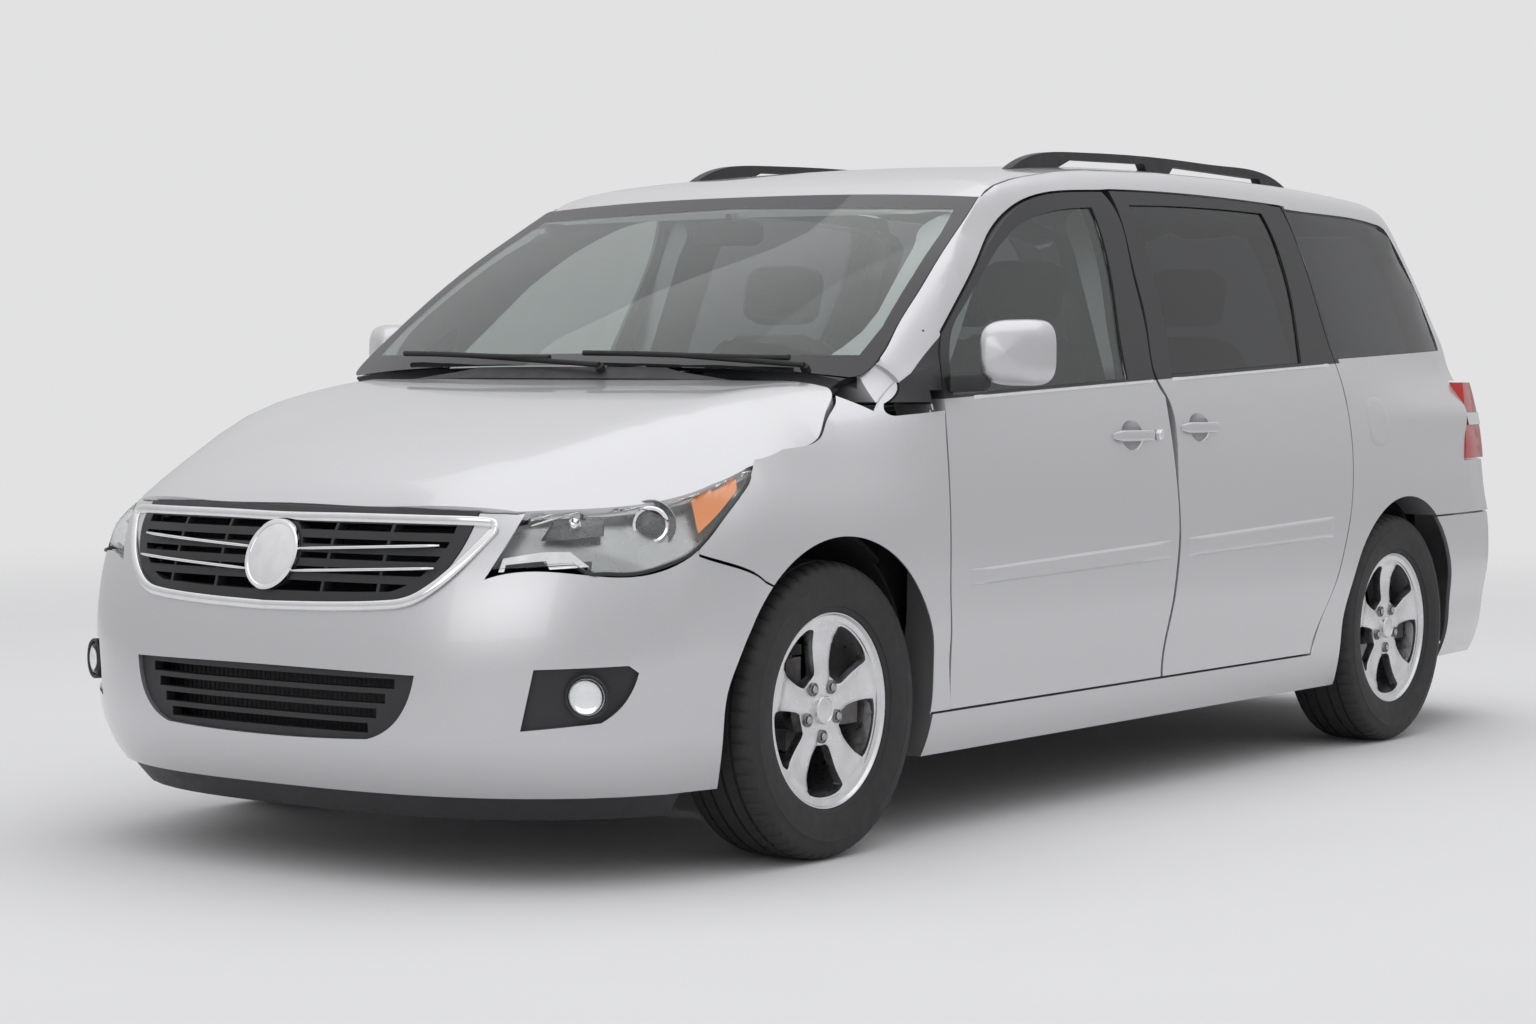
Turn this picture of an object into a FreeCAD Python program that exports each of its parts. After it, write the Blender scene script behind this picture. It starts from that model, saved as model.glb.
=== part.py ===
import FreeCAD, Part
import Sketcher
import os
from math import cos, hypot, pi, sin, sqrt

# A minivan built from separate body panels, glass, doors, lids, seats and running gear.
# Frame: origin on the ground under the middle of the box, +Z up, the nose faces -Y, the car's left is +X.

Vector = FreeCAD.Vector
doc = FreeCAD.newDocument("minivan")
sheet = doc.addObject("Spreadsheet::Sheet", "Sizes")

# Driving dimensions in millimetres and degrees
DIMENSIONS = [
    ("overall_length", 5143, "bumper to bumper"),
    ("body_width", 1953, "across the doors without mirrors"),
    ("roof_height", 1767, "ground to roof"),
    ("front_overhang", 963, "nose to front axle"),
    ("wheelbase", 3078, "front axle to rear axle"),
    ("panel_gap", 6, "shut line between panels"),
    ("fender_wall", 4, "thickness of the front wings"),
    ("door_wall", 62, "doors below the glass"),
    ("frame_wall", 40, "doors and pillars beside the glass"),
    ("roof_wall", 34, "roof skin with its bows"),
    ("hood_wall", 24, "hood skin with its frame"),
    ("gate_wall", 52, "liftgate"),
    ("bumper_wall", 12, "bumper covers"),
    ("glass_wall", 5, "window glass"),
    ("glass_inset", 6, "glass behind the outer skin"),
    ("tyre_radius", 356, "loaded tyre"),
    ("tyre_width", 225, "section width"),
    ("rim_radius", 228, "rim flange"),
    ("rim_depth", 200, "rim flange to flange"),
    ("arch_radius", 408, "wheel arch opening"),
    ("track_half", 832, "centre line to wheel middle"),
    ("kingpin_inset", 32, "steering axis inboard of the wheel middle"),
    ("disc_radius", 150, "brake disc"),
    ("hub_bore", 60, "wheel bearing"),
    ("stud_circle", 63.5, "radius of the wheel stud circle"),
    ("floor_height", 330, "top of the cabin floor"),
    ("floor_wall", 40, "floor pan with its rails"),
    ("seat_fit", 0.05, "space where one piece seats on another"),
]
for row, (alias, value, note) in enumerate(DIMENSIONS, start=1):
    sheet.set("A%d" % row, alias)
    sheet.set("B%d" % row, str(value))
    sheet.set("C%d" % row, note)
    sheet.setAlias("B%d" % row, alias)
doc.recompute()


def size(alias):
    return float(sheet.get(alias))


GAP = size("panel_gap")
FIT = size("seat_fit")
SEAT = 0.3

# Reference stations of the drawn shape and the real ones
NOSE_END, FRONT_AXLE, REAR_AXLE, TAIL_END = -2571.5, -1608.5, 1469.5, 2571.5
DRAWN_WIDTH = 1953.0
DRAWN_ROOF = 1767.0
y_nose = -size("overall_length") / 2
y_front = y_nose + size("front_overhang")
y_rear = y_front + size("wheelbase")
y_tail = -y_nose
axle_height = size("tyre_radius")


def station(y):
    """Real place along the car of a place on the drawn shape."""
    knots = ((NOSE_END, y_nose), (FRONT_AXLE, y_front), (REAR_AXLE, y_rear), (TAIL_END, y_tail))
    first, second = (knots[0], knots[1]) if y < FRONT_AXLE else (knots[1], knots[2])
    if y > REAR_AXLE:
        first, second = knots[2], knots[3]
    share = (y - first[0]) / (second[0] - first[0])
    return first[1] + share * (second[1] - first[1])


def place(x, y, z):
    """Real point of a point on the drawn shape."""
    return Vector(x * size("body_width") / DRAWN_WIDTH, station(y), z * size("roof_height") / DRAWN_ROOF)


def spline(knots):
    """Smooth curve through a few stations, straight past its ends."""
    xs = [k[0] for k in knots]
    ys = [k[1] for k in knots]
    last = len(xs) - 1
    step = [xs[i + 1] - xs[i] for i in range(last)]
    diag = [1.0] * (last + 1)
    rhs = [0.0] * (last + 1)
    bend = [0.0] * (last + 1)
    for i in range(1, last):
        share = step[i - 1] / diag[i - 1] if i > 1 else 0.0
        diag[i] = 2 * (step[i - 1] + step[i]) - share * (step[i - 1] if i > 1 else 0.0)
        rhs[i] = 6 * ((ys[i + 1] - ys[i]) / step[i] - (ys[i] - ys[i - 1]) / step[i - 1])
        rhs[i] -= share * rhs[i - 1]
    for i in range(last - 1, 0, -1):
        bend[i] = (rhs[i] - step[i] * bend[i + 1]) / diag[i]

    def curve(x):
        if x <= xs[0]:
            slope = (ys[1] - ys[0]) / step[0] - step[0] * bend[1] / 6
            return ys[0] + slope * (x - xs[0])
        if x >= xs[last]:
            slope = (ys[last] - ys[last - 1]) / step[last - 1] + step[last - 1] * bend[last - 1] / 6
            return ys[last] + slope * (x - xs[last])
        i = 0
        while x > xs[i + 1]:
            i += 1
        near = (xs[i + 1] - x) / step[i]
        far = 1 - near
        curl = (near ** 3 - near) * bend[i] + (far ** 3 - far) * bend[i + 1]
        return near * ys[i] + far * ys[i + 1] + curl * step[i] ** 2 / 6

    return curve


def ease(t):
    t = min(1.0, max(0.0, t))
    return t * t * (3 - 2 * t)


# Form of the body: each curve is drawn through a few stations of the reference shape
half_width_at = spline([(150, 880), (250, 925), (330, 946), (440, 956), (490, 966), (600, 974), (720, 976),
                        (850, 970), (960, 958), (1050, 942), (1150, 918), (1250, 885)])
nose_at = spline([(150, -2480), (230, -2535), (300, -2562), (380, -2571), (480, -2568), (560, -2560),
                  (650, -2543), (740, -2515), (840, -2462), (900, -2400), (1000, -2280), (1150, -2100)])
tail_at = spline([(150, 2480), (260, 2535), (360, 2562), (480, 2571), (620, 2565), (700, 2540), (760, 2505),
                  (900, 2492), (1050, 2480), (1150, 2462), (1300, 2400), (1450, 2322), (1600, 2230),
                  (1700, 2150), (1760, 2090)])
shoulder_lean = spline([(600, 0), (800, -6), (900, -22), (960, -42), (1000, -62), (1060, -95), (1150, -140)])
hood_crown = spline([(-2500, 800), (-2450, 850), (-2350, 913), (-2250, 960), (-2100, 1013), (-1900, 1067),
                     (-1700, 1107), (-1500, 1137), (-1400, 1148), (-1300, 1158)])
hood_camber = spline([(-2450, 70), (-2300, 60), (-2071, 43), (-1840, 16), (-1600, 11), (-1300, 14)])
crest_at = spline([(-2400, 430), (-2350, 450), (-2100, 560), (-1878, 640), (-1600, 680), (-1300, 690)])
crest_drop = spline([(-2450, 40), (-2350, 53), (-2100, 77), (-1878, 88), (-1724, 109), (-1589, 120),
                     (-1516, 98), (-1457, 72), (-1400, 52), (-1300, 40)])
roof_at = spline([(-760, 1606), (-687, 1640), (-640, 1656), (-560, 1682), (-430, 1705), (-300, 1723), (0, 1750),
                  (400, 1766), (900, 1766), (1400, 1752), (1900, 1720), (2250, 1678), (2600, 1615)])
brow_drop = spline([(-760, 62), (-687, 40), (-600, 22), (-480, 8), (-380, 1), (-300, 0)])
seam_at = spline([(-760, 741), (-654, 734), (-587, 723), (-470, 705), (-343, 694), (-163, 678), (100, 660),
                  (400, 648)])
cabin_lean = spline([(-1340, -30), (-1280, -20), (-1160, 0), (-1000, 0), (0, 0), (1000, 0), (1150, -1), (1400, -14),
                     (1800, -44), (2100, -85), (2300, -130), (2600, -210)])
shield_at = spline([(1050, -1625), (1100, -1560), (1165, -1468), (1267, -1323), (1350, -1195), (1450, -1029),
                    (1520, -901), (1581, -789), (1655, -655), (1750, -490)])
BELT = 1130
NOSE_DEPTH, TAIL_DEPTH = 580.0, 420.0
NOSE_POWER, TAIL_POWER = 2.8, 3.2
CREST_REACH = 216.0
# The side of the car from the sill over the belt to the middle of the roof: half width and height,
# and above the cantrail the height as a share of the way up to the roof's middle
SILL_LEVELS = (200, 300, 400, 460, 500, 600, 720, 850, 960, 1050)
CABIN_LEVELS = ((924, BELT), (897, 1212), (870, 1293), (812, 1462), (776, 1565), (750, 1640))
ROOF_SHARES = ((718, .52), (640, .773), (500, .886), (260, .96), (0, 1.0))
CANTRAIL = 1640
BROW = -760


cabin_width = spline([(z, x) for x, z in CABIN_LEVELS])


def body_half(y, z):
    """Half width of the lower body before its nose and tail close in."""
    width = half_width_at(z)
    if z > 600:
        width += min(0.0, shoulder_lean(z)) * ease((-1180 - y) / 400)
    return width - 26 * ease((-1300 - y) / 900) - 44 * ease((y - 1500) / 900)


def closing(y, z):
    """Share of the half width that is left where the nose or the tail rounds off."""
    front = nose_at(z) + NOSE_DEPTH
    back = tail_at(z) - TAIL_DEPTH
    if y < front and z < BELT + 100:
        share = min(0.996, (front - y) / NOSE_DEPTH)
        return (1 - share ** 2) ** (1 / NOSE_POWER)
    if y > back:
        share = min(0.996, (y - back) / TAIL_DEPTH)
        return (1 - share ** 2) ** (1 / TAIL_POWER)
    return 1.0


def section_knots(y):
    """Half widths and heights of the section across the car at one place along it."""
    knots = [(body_half(y, z), z) for z in SILL_LEVELS]
    lean = 1 + cabin_lean(y) / 962
    along = max(y, BROW)
    drop = brow_drop(along) if along < -300 else 0.0
    for x, z in CABIN_LEVELS:
        shoulder = shoulder_lean(min(z, 1150)) * ease((-1180 - y) / 400) * ease((1512 - z) / 300)
        knots.append((x * lean + shoulder, z - drop * ease((z - 1462) / 178)))
    low = CANTRAIL - drop
    knots += [(x * lean, low + (roof_at(along) - low) * share) for x, share in ROOF_SHARES]
    return knots


reference = section_knots(0)
REACH = [0.0]
for (x0, z0), (x1, z1) in zip(reference, reference[1:]):
    REACH.append(REACH[-1] + hypot(x1 - x0, z1 - z0))
REACH = [r / REACH[-1] for r in REACH]


def reach_of(z):
    """Place along the section, 0 at the sill and 1 at the roof's middle, of a height at the B pillar."""
    heights = [k[1] for k in reference]
    i = 0
    while i < len(heights) - 2 and z > heights[i + 1]:
        i += 1
    return REACH[i] + (z - heights[i]) / (heights[i + 1] - heights[i]) * (REACH[i + 1] - REACH[i])


def section(y):
    """The section at one place along the car as two curves of the way along it."""
    knots = section_knots(y)
    across = spline(list(zip(REACH, [k[0] for k in knots])))
    upward = spline(list(zip(REACH, [k[1] for k in knots])))
    return across, upward


def hood_height(x, y):
    fall = max(0.0, abs(x) - crest_at(y)) / CREST_REACH
    return hood_crown(y) - hood_camber(y) * abs(x / 800) ** 2.4 - max(0.0, crest_drop(y)) * fall ** 2


def shield_place(x, z):
    return shield_at(z) + 150 * abs(x / 900) ** 2.3 * (1 - 0.35 * ease((z - 1150) / 500))


def tail_place(x, z):
    """Place along the car of the tail's skin."""
    width = body_half(2200, z) if z <= BELT else section_width(2200, z)
    share = min(1.0, abs(x) / width)
    return tail_at(z) - TAIL_DEPTH + TAIL_DEPTH * sqrt(max(0.0, 1 - share ** TAIL_POWER))


def section_width(y, z):
    return cabin_width(min(z, 1660)) * (1 + cabin_lean(y) / 962)


def row_curves(rows):
    """One smooth curve through each row of points, all with the same spacing of knots."""
    middle = rows[len(rows) // 2]
    knots = [0.0]
    for p, q in zip(middle, middle[1:]):
        knots.append(knots[-1] + p.distanceToPoint(q))
    curves = []
    for row in rows:
        curve = Part.BSplineCurve()
        curve.interpolate(Points=row, Parameters=knots)
        curves.append(curve.toShape())
    return curves


def strips(curves):
    return [Part.makeRuledSurface(first, second) for first, second in zip(curves, curves[1:])]


def sewn(faces):
    shell = Part.makeShell(faces)
    shell.sewShape(1e-3)
    solid = Part.makeSolid(shell)
    if solid.Volume < 0:
        solid.reverse()
    if not solid.isValid():
        raise ValueError("a wall is not closed")
    return solid


def slab(outer, inner):
    """Closed wall between two skins, each given as rows of points and ruled from row to row."""
    skins = [row_curves(outer), row_curves(inner)]
    faces = strips(skins[0]) + strips(skins[1])
    for end in (0, -1):
        faces.append(Part.makeRuledSurface(skins[0][end], skins[1][end]))
        rails = [[Part.makeLine(row[end], following[end]) for row, following in zip(skin, skin[1:])]
                 for skin in (outer, inner)]
        faces += [Part.makeRuledSurface(first, second) for first, second in zip(*rails)]
    return sewn(faces)


def spread(first, last, count):
    return [first + (last - first) * i / (count - 1) for i in range(count)]


def side_slab(stations, z_from, z_to, depth_out, depth_in, rows):
    """Wall of the car's left side between two depths under its skin.
    A station is a place along the car, or a function of height for a leaning one."""
    reaches = spread(reach_of(z_from), reach_of(z_to), rows)
    levels = [section(0)[1](r) for r in reaches]
    outer, inner = [], []
    for where in stations:
        line_out, line_in = [], []
        for r, level in zip(reaches, levels):
            y = where(level) if callable(where) else where
            across, upward = section(y)
            turn = ease((r - reach_of(1600)) / (reach_of(1722) - reach_of(1600))) * pi / 2
            x, z = across(r) * closing(y, upward(r)), upward(r)
            back = ease((y - 2060) / 380) * 0.8
            for line, depth in ((line_out, depth_out), (line_in, depth_in(y, level))):
                line.append(place(x - depth * cos(turn), y - depth * back * cos(turn), z - depth * sin(turn)))
        outer.append(line_out)
        inner.append(line_in)
    return slab(outer, inner)


def tail_stations(y_from, count):
    """Stations that lean more and more until the last follows the tail."""
    return [lambda z, share=i / count: y_from + share * (tail_at(min(z, 1690)) - 62 - y_from)
            for i in range(1, count + 1)]


def flat(plane, a, b, away):
    if plane == "side":
        p = place(0, a, b)
        return Vector(away, p.y, p.z)
    if plane == "front":
        p = place(a, 0, b)
        return Vector(p.x, away, p.z)
    p = place(a, b, 0)
    return Vector(p.x, p.y, away)


def prism(plane, runs, start, end, slant=(0, 0, 0)):
    """Cutter: a closed outline drawn on a plane, from one distance to another.
    Each run is a list of points, two for a line and more for a curve."""
    edges = []
    for run in runs:
        points = [flat(plane, a, b, start) for a, b in run]
        if len(points) == 2:
            edges.append(Part.makeLine(points[0], points[1]))
        else:
            curve = Part.BSplineCurve()
            curve.interpolate(points)
            edges.append(curve.toShape())
    wire = Part.Wire(edges)
    face = Part.Face(wire)
    axis = {"side": Vector(1, 0, 0), "front": Vector(0, 1, 0), "top": Vector(0, 0, 1)}[plane]
    way = axis * (end - start) + Vector(*slant) * (end - start)
    solid = face.extrude(way)
    return solid


def closed(points):
    """Straight runs through points and back to the first."""
    return [[points[i], points[(i + 1) % len(points)]] for i in range(len(points))]


def mirrored(shape):
    return shape.mirror(Vector(0, 0, 0), Vector(1, 0, 0))


def main_solid(shape):
    """The wanted solid of a cut, without slivers."""
    solids = sorted(shape.Solids, key=lambda s: -s.Volume)
    return solids[0]


nodes = []


def keep(name, shape):
    """Sub-part whose shape is worked out here from the sheet's sizes."""
    piece = doc.addObject("Part::Feature", name)
    piece.Shape = shape
    piece.Label = name
    piece.Placement = FreeCAD.Placement(Vector(0, 0, 0), FreeCAD.Rotation())
    nodes.append(piece)
    return piece


def keep_pair(name, shape):
    keep(name + "_left", shape)
    keep(name + "_right", mirrored(shape))


# Shut lines on the side of the car, as place along the car and height
DOOR_FRONT = [(-1104, 318), (-1128, 420), (-1152, 560), (-1159, 702), (-1154, 880), (-1140, 1020), (-1127, 1090)]
SAIL_REAR = [(-1127, 1090), (-1092, 1212), (-1066, 1252)]
DOOR_TOP = [(-1066, 1252), (-943, 1336), (-795, 1438), (-688, 1509), (-587, 1566), (-477, 1608), (-374, 1631),
            (-231, 1647), (-38, 1657)]
DOOR_REAR = [(-38, 1657), (10, 1599), (-3, 1438), (-24, 1267), (-48, 1142), (-12, 1090)]
REAR_LOW = [(-12, 1090), (-9, 870), (-5, 688), (-38, 480), (-41, 318)]
SPLIT_TOP = (12, 1660)
SLIDE_TOP = [(4, 1661), (361, 1668), (663, 1667), (903, 1663), (1040, 1659)]
SLIDE_REAR = [(1040, 1659), (1080, 1424), (1084, 1197), (1092, 1150), (1099, 960), (1060, 720), (948, 478),
              (878, 351), (868, 318)]
FRONT_GLASS = [[(-1085, 1118), (-1040, 1232), (-952, 1308)],
               [(-952, 1308), (-855, 1370), (-682, 1478), (-549, 1542), (-423, 1576), (-291, 1597), (-123, 1610)],
               [(-123, 1610), (-112, 1533), (-140, 1369), (-198, 1137)],
               [(-198, 1137), (-1085, 1100)], [(-1085, 1100), (-1085, 1118)]]
SLIDE_GLASS = [[(91, 1625), (505, 1636), (900, 1634)], [(900, 1634), (936, 1519), (918, 1345), (863, 1183)],
               [(863, 1183), (49, 1150)], [(49, 1150), (93, 1280), (108, 1418), (110, 1560), (91, 1625)]]
QUARTER_GLASS = [[(1055, 1655), (1337, 1650), (1631, 1643), (1740, 1634)],
                 [(1740, 1634), (1862, 1589), (1953, 1461), (2010, 1315), (2022, 1228)],
                 [(2022, 1228), (1092, 1196)], [(1092, 1196), (1095, 1424), (1055, 1655)]]
SPLIT = [(4, 1661), (22, 1599), (9, 1438), (-12, 1267), (-36, 1142), (0, 1090), (3, 870), (7, 688), (-26, 480),
         (-29, 318)]


def joined(runs):
    """The same runs with straight lines across the steps between them."""
    whole = []
    for run, following in zip(runs, runs[1:] + runs[:1]):
        whole.append(run)
        if hypot(run[-1][0] - following[0][0], run[-1][1] - following[0][1]) > 0.01:
            whole.append([run[-1], following[0]])
    return whole


def wheel_cut(radius, y, z, x_from, x_to):
    return Part.makeCylinder(radius, x_to - x_from, Vector(x_from, y, z), Vector(1, 0, 0))


def box(x0, x1, y0, y1, z0, z1):
    """Block between two corners given on the drawn shape."""
    low, high = place(x0, y0, z0), place(x1, y1, z1)
    return Part.makeBox(high.x - low.x, high.y - low.y, high.z - low.z, low)


def shifted(run, dy, dz=0.0):
    return [(a + dy, b + dz) for a, b in run]


OUTSIDE = 1150.0
door_wall, frame_wall, roof_wall = size("door_wall"), size("frame_wall"), size("roof_wall")
glass_inset, glass_wall = size("glass_inset"), size("glass_wall")
arch = size("arch_radius")
front_arch = wheel_cut(arch, y_front, axle_height + 6, 300, OUTSIDE)
rear_arch = wheel_cut(arch, y_rear, axle_height + 6, 600, OUTSIDE)


HINGE = place(940, -1062, 0)
HINGE_CLEAR = 122.0
SWING = (0, 0.2, 0)
MID = 0


def wall_length(z_from, z_to, y_from, y_to, depth_out, depth_in, rows=14):
    """Straight wall along the car between two depths under the skin of the doors."""
    across, upward = section(MID)
    reaches = spread(reach_of(z_from), reach_of(z_to), rows)
    lines = []
    for depth in (depth_out, depth_in):
        points = [place(across(r) - depth(upward(r)), y_from, upward(r)) for r in reaches]
        curve = Part.BSplineCurve()
        curve.interpolate(points)
        lines.append(curve.toShape())
    low = Part.makeLine(lines[0].firstVertex().Point, lines[1].firstVertex().Point)
    high = Part.makeLine(lines[0].lastVertex().Point, lines[1].lastVertex().Point)
    face = Part.Face(Part.Wire(Part.__sortEdges__(lines + [low, high])))
    return face.extrude(Vector(0, station(y_to) - station(y_from), 0))


def door_depth(z):
    return frame_wall + (door_wall - frame_wall) * ease((1140 - z) / 120)


def flush(z):
    return 0


def leaned(runs):
    """Outlines moved so that a cutter that slants inwards meets the skin on the drawn lines."""
    moved = []
    for run in runs:
        moved.append([(y + SWING[1] * (OUTSIDE - (body_half(0, z) if z < BELT else cabin_width(min(z, 1690)))), z)
                      for y, z in run])
    return moved


def handle_cup(y, z):
    """Shallow hollow in a door behind its handle."""
    ball = Part.makeSphere(46)
    matrix = FreeCAD.Matrix()
    matrix.scale(Vector(0.36, 1.3, 1))
    matrix.move(place(body_half(0, z) + 2, y, z))
    return ball.transformGeometry(matrix)


def front_door():
    wall = wall_length(300, 1675, -1180, 60, flush, door_depth)
    outline = [DOOR_FRONT, SAIL_REAR, DOOR_TOP, DOOR_REAR, REAR_LOW, [(-41, 318), (-1104, 318)]]
    shape = main_solid(wall.common(prism("side", leaned(outline), OUTSIDE, 600, SWING)))
    return main_solid(shape.cut(prism("side", FRONT_GLASS, OUTSIDE, 500)).cut(handle_cup(-229, 988)))


def sliding_door():
    wall = wall_length(300, 1675, -70, 1160, flush, door_depth)
    outline = [SPLIT, [(-29, 318), (868, 318)], SLIDE_REAR[::-1], SLIDE_TOP[::-1]]
    shape = wall.common(prism("side", leaned(outline), OUTSIDE, 500, SWING))
    return main_solid(shape.cut(prism("side", SLIDE_GLASS, OUTSIDE, 500)).cut(handle_cup(153, 1005)))


def shrunk(cutter, play=1.5):
    """The same cutter with a little less height and length, for a piece that seats in its hole."""
    bounds, middle = cutter.BoundBox, cutter.CenterOfMass
    matrix = FreeCAD.Matrix()
    matrix.move(Vector(0, -middle.y, -middle.z))
    matrix.scale(Vector(1, 1 - play / bounds.YLength, 1 - play / bounds.ZLength))
    matrix.move(Vector(0, middle.y, middle.z))
    return cutter.transformGeometry(matrix)


def pane(runs, y0, y1):
    wall = wall_length(1040, 1690, y0, y1, lambda z: glass_inset, lambda z: glass_inset + glass_wall, 8)
    return main_solid(wall.common(shrunk(prism("side", runs, OUTSIDE, 500))))


def quarter_pane():
    wall = side_slab([1030, 1200, 1400, 1550, 1700, 1850, 1970, 2080], 1150, 1690, glass_inset,
                     lambda y, z: glass_inset + glass_wall, 8)
    return main_solid(wall.common(shrunk(prism("side", QUARTER_GLASS, OUTSIDE, 500))))


glass_edge = spline([(1060, 868), (1120, 862), (1174, 852), (1267, 836), (1350, 820), (1450, 794), (1520, 771),
                     (1581, 749), (1621, 733), (1660, 716)])


def pillar_depth(y, z):
    return 34 + 76 * ease((1650 - z) / 70)


def pillar_front(x, z):
    """Front of the windshield pillar: beside the glass it sweeps back more and more."""
    edge = glass_edge(z)
    past = max(0.0, abs(x) - edge)
    return shield_place(min(abs(x), edge), z) + past * (0.4 + 0.6 * ease((z - 1090) / 90)) * (1.2 + 0.045 * past)


def behind(front, x_from, x_to, z_from, z_to, columns, rows, back, depth=0.0):
    """Everything between a leaning surface and a plane across the car behind it."""
    grid = [[place(x, front(x, z) + depth, z) for z in spread(z_from, z_to, rows)]
            for x in spread(x_from, x_to, columns)]
    return slab(grid, [[Vector(p.x, station(back), p.z) for p in row] for row in grid])


def pillar_block():
    """Everything of the car's left side behind the face of the windshield pillar."""
    offsets = (-260, -60, 0, 8, 16, 26, 40, 60, 110)
    grid = [[place(glass_edge(z) + o, pillar_front(glass_edge(z) + o, z), z) for z in spread(1083, 1745, 13)]
            for o in offsets]
    return slab(grid, [[Vector(p.x, station(300), p.z) for p in row] for row in grid])


def draft(runs, direction, start, end):
    """Cutter through a closed outline given as points on the body, from start to end along a direction."""
    way = Vector(*direction).normalize()
    edges = []
    for run in runs:
        points = [place(*p) for p in run]
        points = [p + way * (start - p.dot(way)) for p in points]
        if len(points) == 2:
            edges.append(Part.makeLine(points[0], points[1]))
        else:
            curve = Part.BSplineCurve()
            curve.interpolate(points)
            edges.append(curve.toShape())
    return Part.Face(Part.Wire(edges)).extrude(way * (end - start))


def wrap_point(end, u, z, depth):
    """Point of the nose or tail wrap; u runs from -1 at the right arch over 0 at the middle to 1 at the left."""
    power, reach = (NOSE_POWER, NOSE_DEPTH) if end < 0 else (TAIL_POWER, TAIL_DEPTH)
    tip = nose_at(z) if end < 0 else tail_at(z)
    shoulder = tip - end * reach
    side = 1 if u >= 0 else -1
    turn = 0.86
    if abs(u) <= turn:
        share = 0.97 * abs(u) / turn
        back = (1 - share ** power) ** 0.5
        y = shoulder + end * reach * back
        width = body_half(y, z)
        out = (power * share ** (power - 1) / width, 2 * back / reach)
    else:
        start = shoulder + end * reach * (1 - 0.97 ** power) ** 0.5
        limit = FRONT_AXLE + 120 if end < 0 else REAR_AXLE - 60
        y = start + (abs(u) - turn) / (1 - turn) * (limit - start)
        share = closing(y, z)
        width = body_half(y, z)
        out = (1.0, 0.0)
    norm = hypot(*out)
    x = width * share - depth * out[0] / norm
    return place(side * x, y - end * depth * out[1] / norm, z)


def wrap_slab(end, u_from, u_to, columns, z_from, z_to, rows, depth_out, depth_in):
    outer = [[wrap_point(end, u, z, depth_out) for z in spread(z_from, z_to, rows)]
             for u in spread(u_from, u_to, columns)]
    inner = [[wrap_point(end, u, z, depth_in) for z in spread(z_from, z_to, rows)]
             for u in spread(u_from, u_to, columns)]
    return slab(outer, inner)


LAMP_LOW = [(580, -2448, 701), (770, -2327, 712), (843, -2254, 707), (911, -2113, 756), (922, -2017, 831),
            (912, -1916, 903), (886, -1862, 962)]
LAMP_TOP = [(886, -1862, 962), (808, -2115, 916), (724, -2248, 882), (623, -2352, 846)]
LAMP = [LAMP_LOW, LAMP_TOP, [(623, -2352, 846), (580, -2448, 701)]]
bumper_wall = size("bumper_wall")
hood_wall = size("hood_wall")
gate_wall = size("gate_wall")
ARCH_HEIGHT = axle_height + 6


def grown(cutter, play):
    """The same cutter a little larger, or smaller, all round its middle."""
    bounds, middle = cutter.BoundBox, cutter.CenterOfMass
    matrix = FreeCAD.Matrix()
    matrix.move(Vector(-middle.x, -middle.y, -middle.z))
    matrix.scale(Vector(1 + play / bounds.XLength, 1 + play / bounds.YLength, 1 + play / bounds.ZLength))
    matrix.move(middle)
    return cutter.transformGeometry(matrix)


def both_sides(shape):
    return Part.makeCompound([shape, mirrored(shape)])


def fused(shapes):
    whole = shapes[0].fuse(shapes[1:])
    return main_solid(whole.removeSplitter())


# Hood: its outline is drawn from above and cut along the way its front edge first moves
HOOD_HINGE = (-1430, 1138)
HOOD_LIFT = (0, -0.27, 1)


def hood_edge(grow):
    g = grow
    rear = [(-788 - g, -1433 + g, 1135), (-500, -1478 + g, 1137), (0, -1510 + g, 1136), (500, -1478 + g, 1137),
            (788 + g, -1433 + g, 1135)]
    side = [(788 + g, -1433 + g, 1135), (808 + g, -1440 + g, 1108), (850 + g, -1521, 1054),
            (880 + g, -1588, 1005), (890 + g, -1724, 982),
            (884 + g, -1862, 965), (808 + g, -2110 - g * 0.5, 918), (724 + g, -2243 - g * 0.8, 884),
            (604 + g * 0.5, -2366 - g, 850)]
    front = [(604 + g * 0.5, -2366 - g, 850), (480, -2412 - g, 853), (0, -2446 - g, 853), (-480, -2412 - g, 853),
             (-604 - g * 0.5, -2366 - g, 850)]
    return [rear, side, front, [(-x, y, z) for x, y, z in side[::-1]]]


def hood_slab(depth_out, depth_in, lid=True):
    rows = [-2480, -2430, -2380, -2310, -2240, -2160, -2080, -1980, -1880, -1780, -1680, -1600, -1540, -1480, -1420,
            -1300]
    if not lid:
        rows = [-2800, -2452] + rows[1:-2]
    across = [-930, -860, -800, -720, -620, -480, -250, 0, 250, 480, 620, 720, 800, 860, 930]
    if not lid:
        across = [-1010] + across + [1010]
    skins = []
    for depth in (depth_out, depth_in):
        skins.append([[place(x, y, hood_height(min(abs(x), 930 if lid else 905), max(y, -2480 if lid else -2452))
                             - depth) for x in across] for y in rows])
    return slab(*skins)


hood_space = hood_slab(-60, hood_wall + GAP).common(draft(hood_edge(GAP), HOOD_LIFT, 300, 1600))
under_hood = hood_slab(1, 1500, False)


# Room behind the hood in which its rear corners turn
hood_pivot = place(0, *HOOD_HINGE)
hood_swing = wheel_cut(hood_wall + 12, hood_pivot.y, hood_pivot.z, -OUTSIDE, OUTSIDE)


def hood():
    return main_solid(hood_slab(0, hood_wall).common(draft(hood_edge(0), HOOD_LIFT, 300, 1600)))


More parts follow.
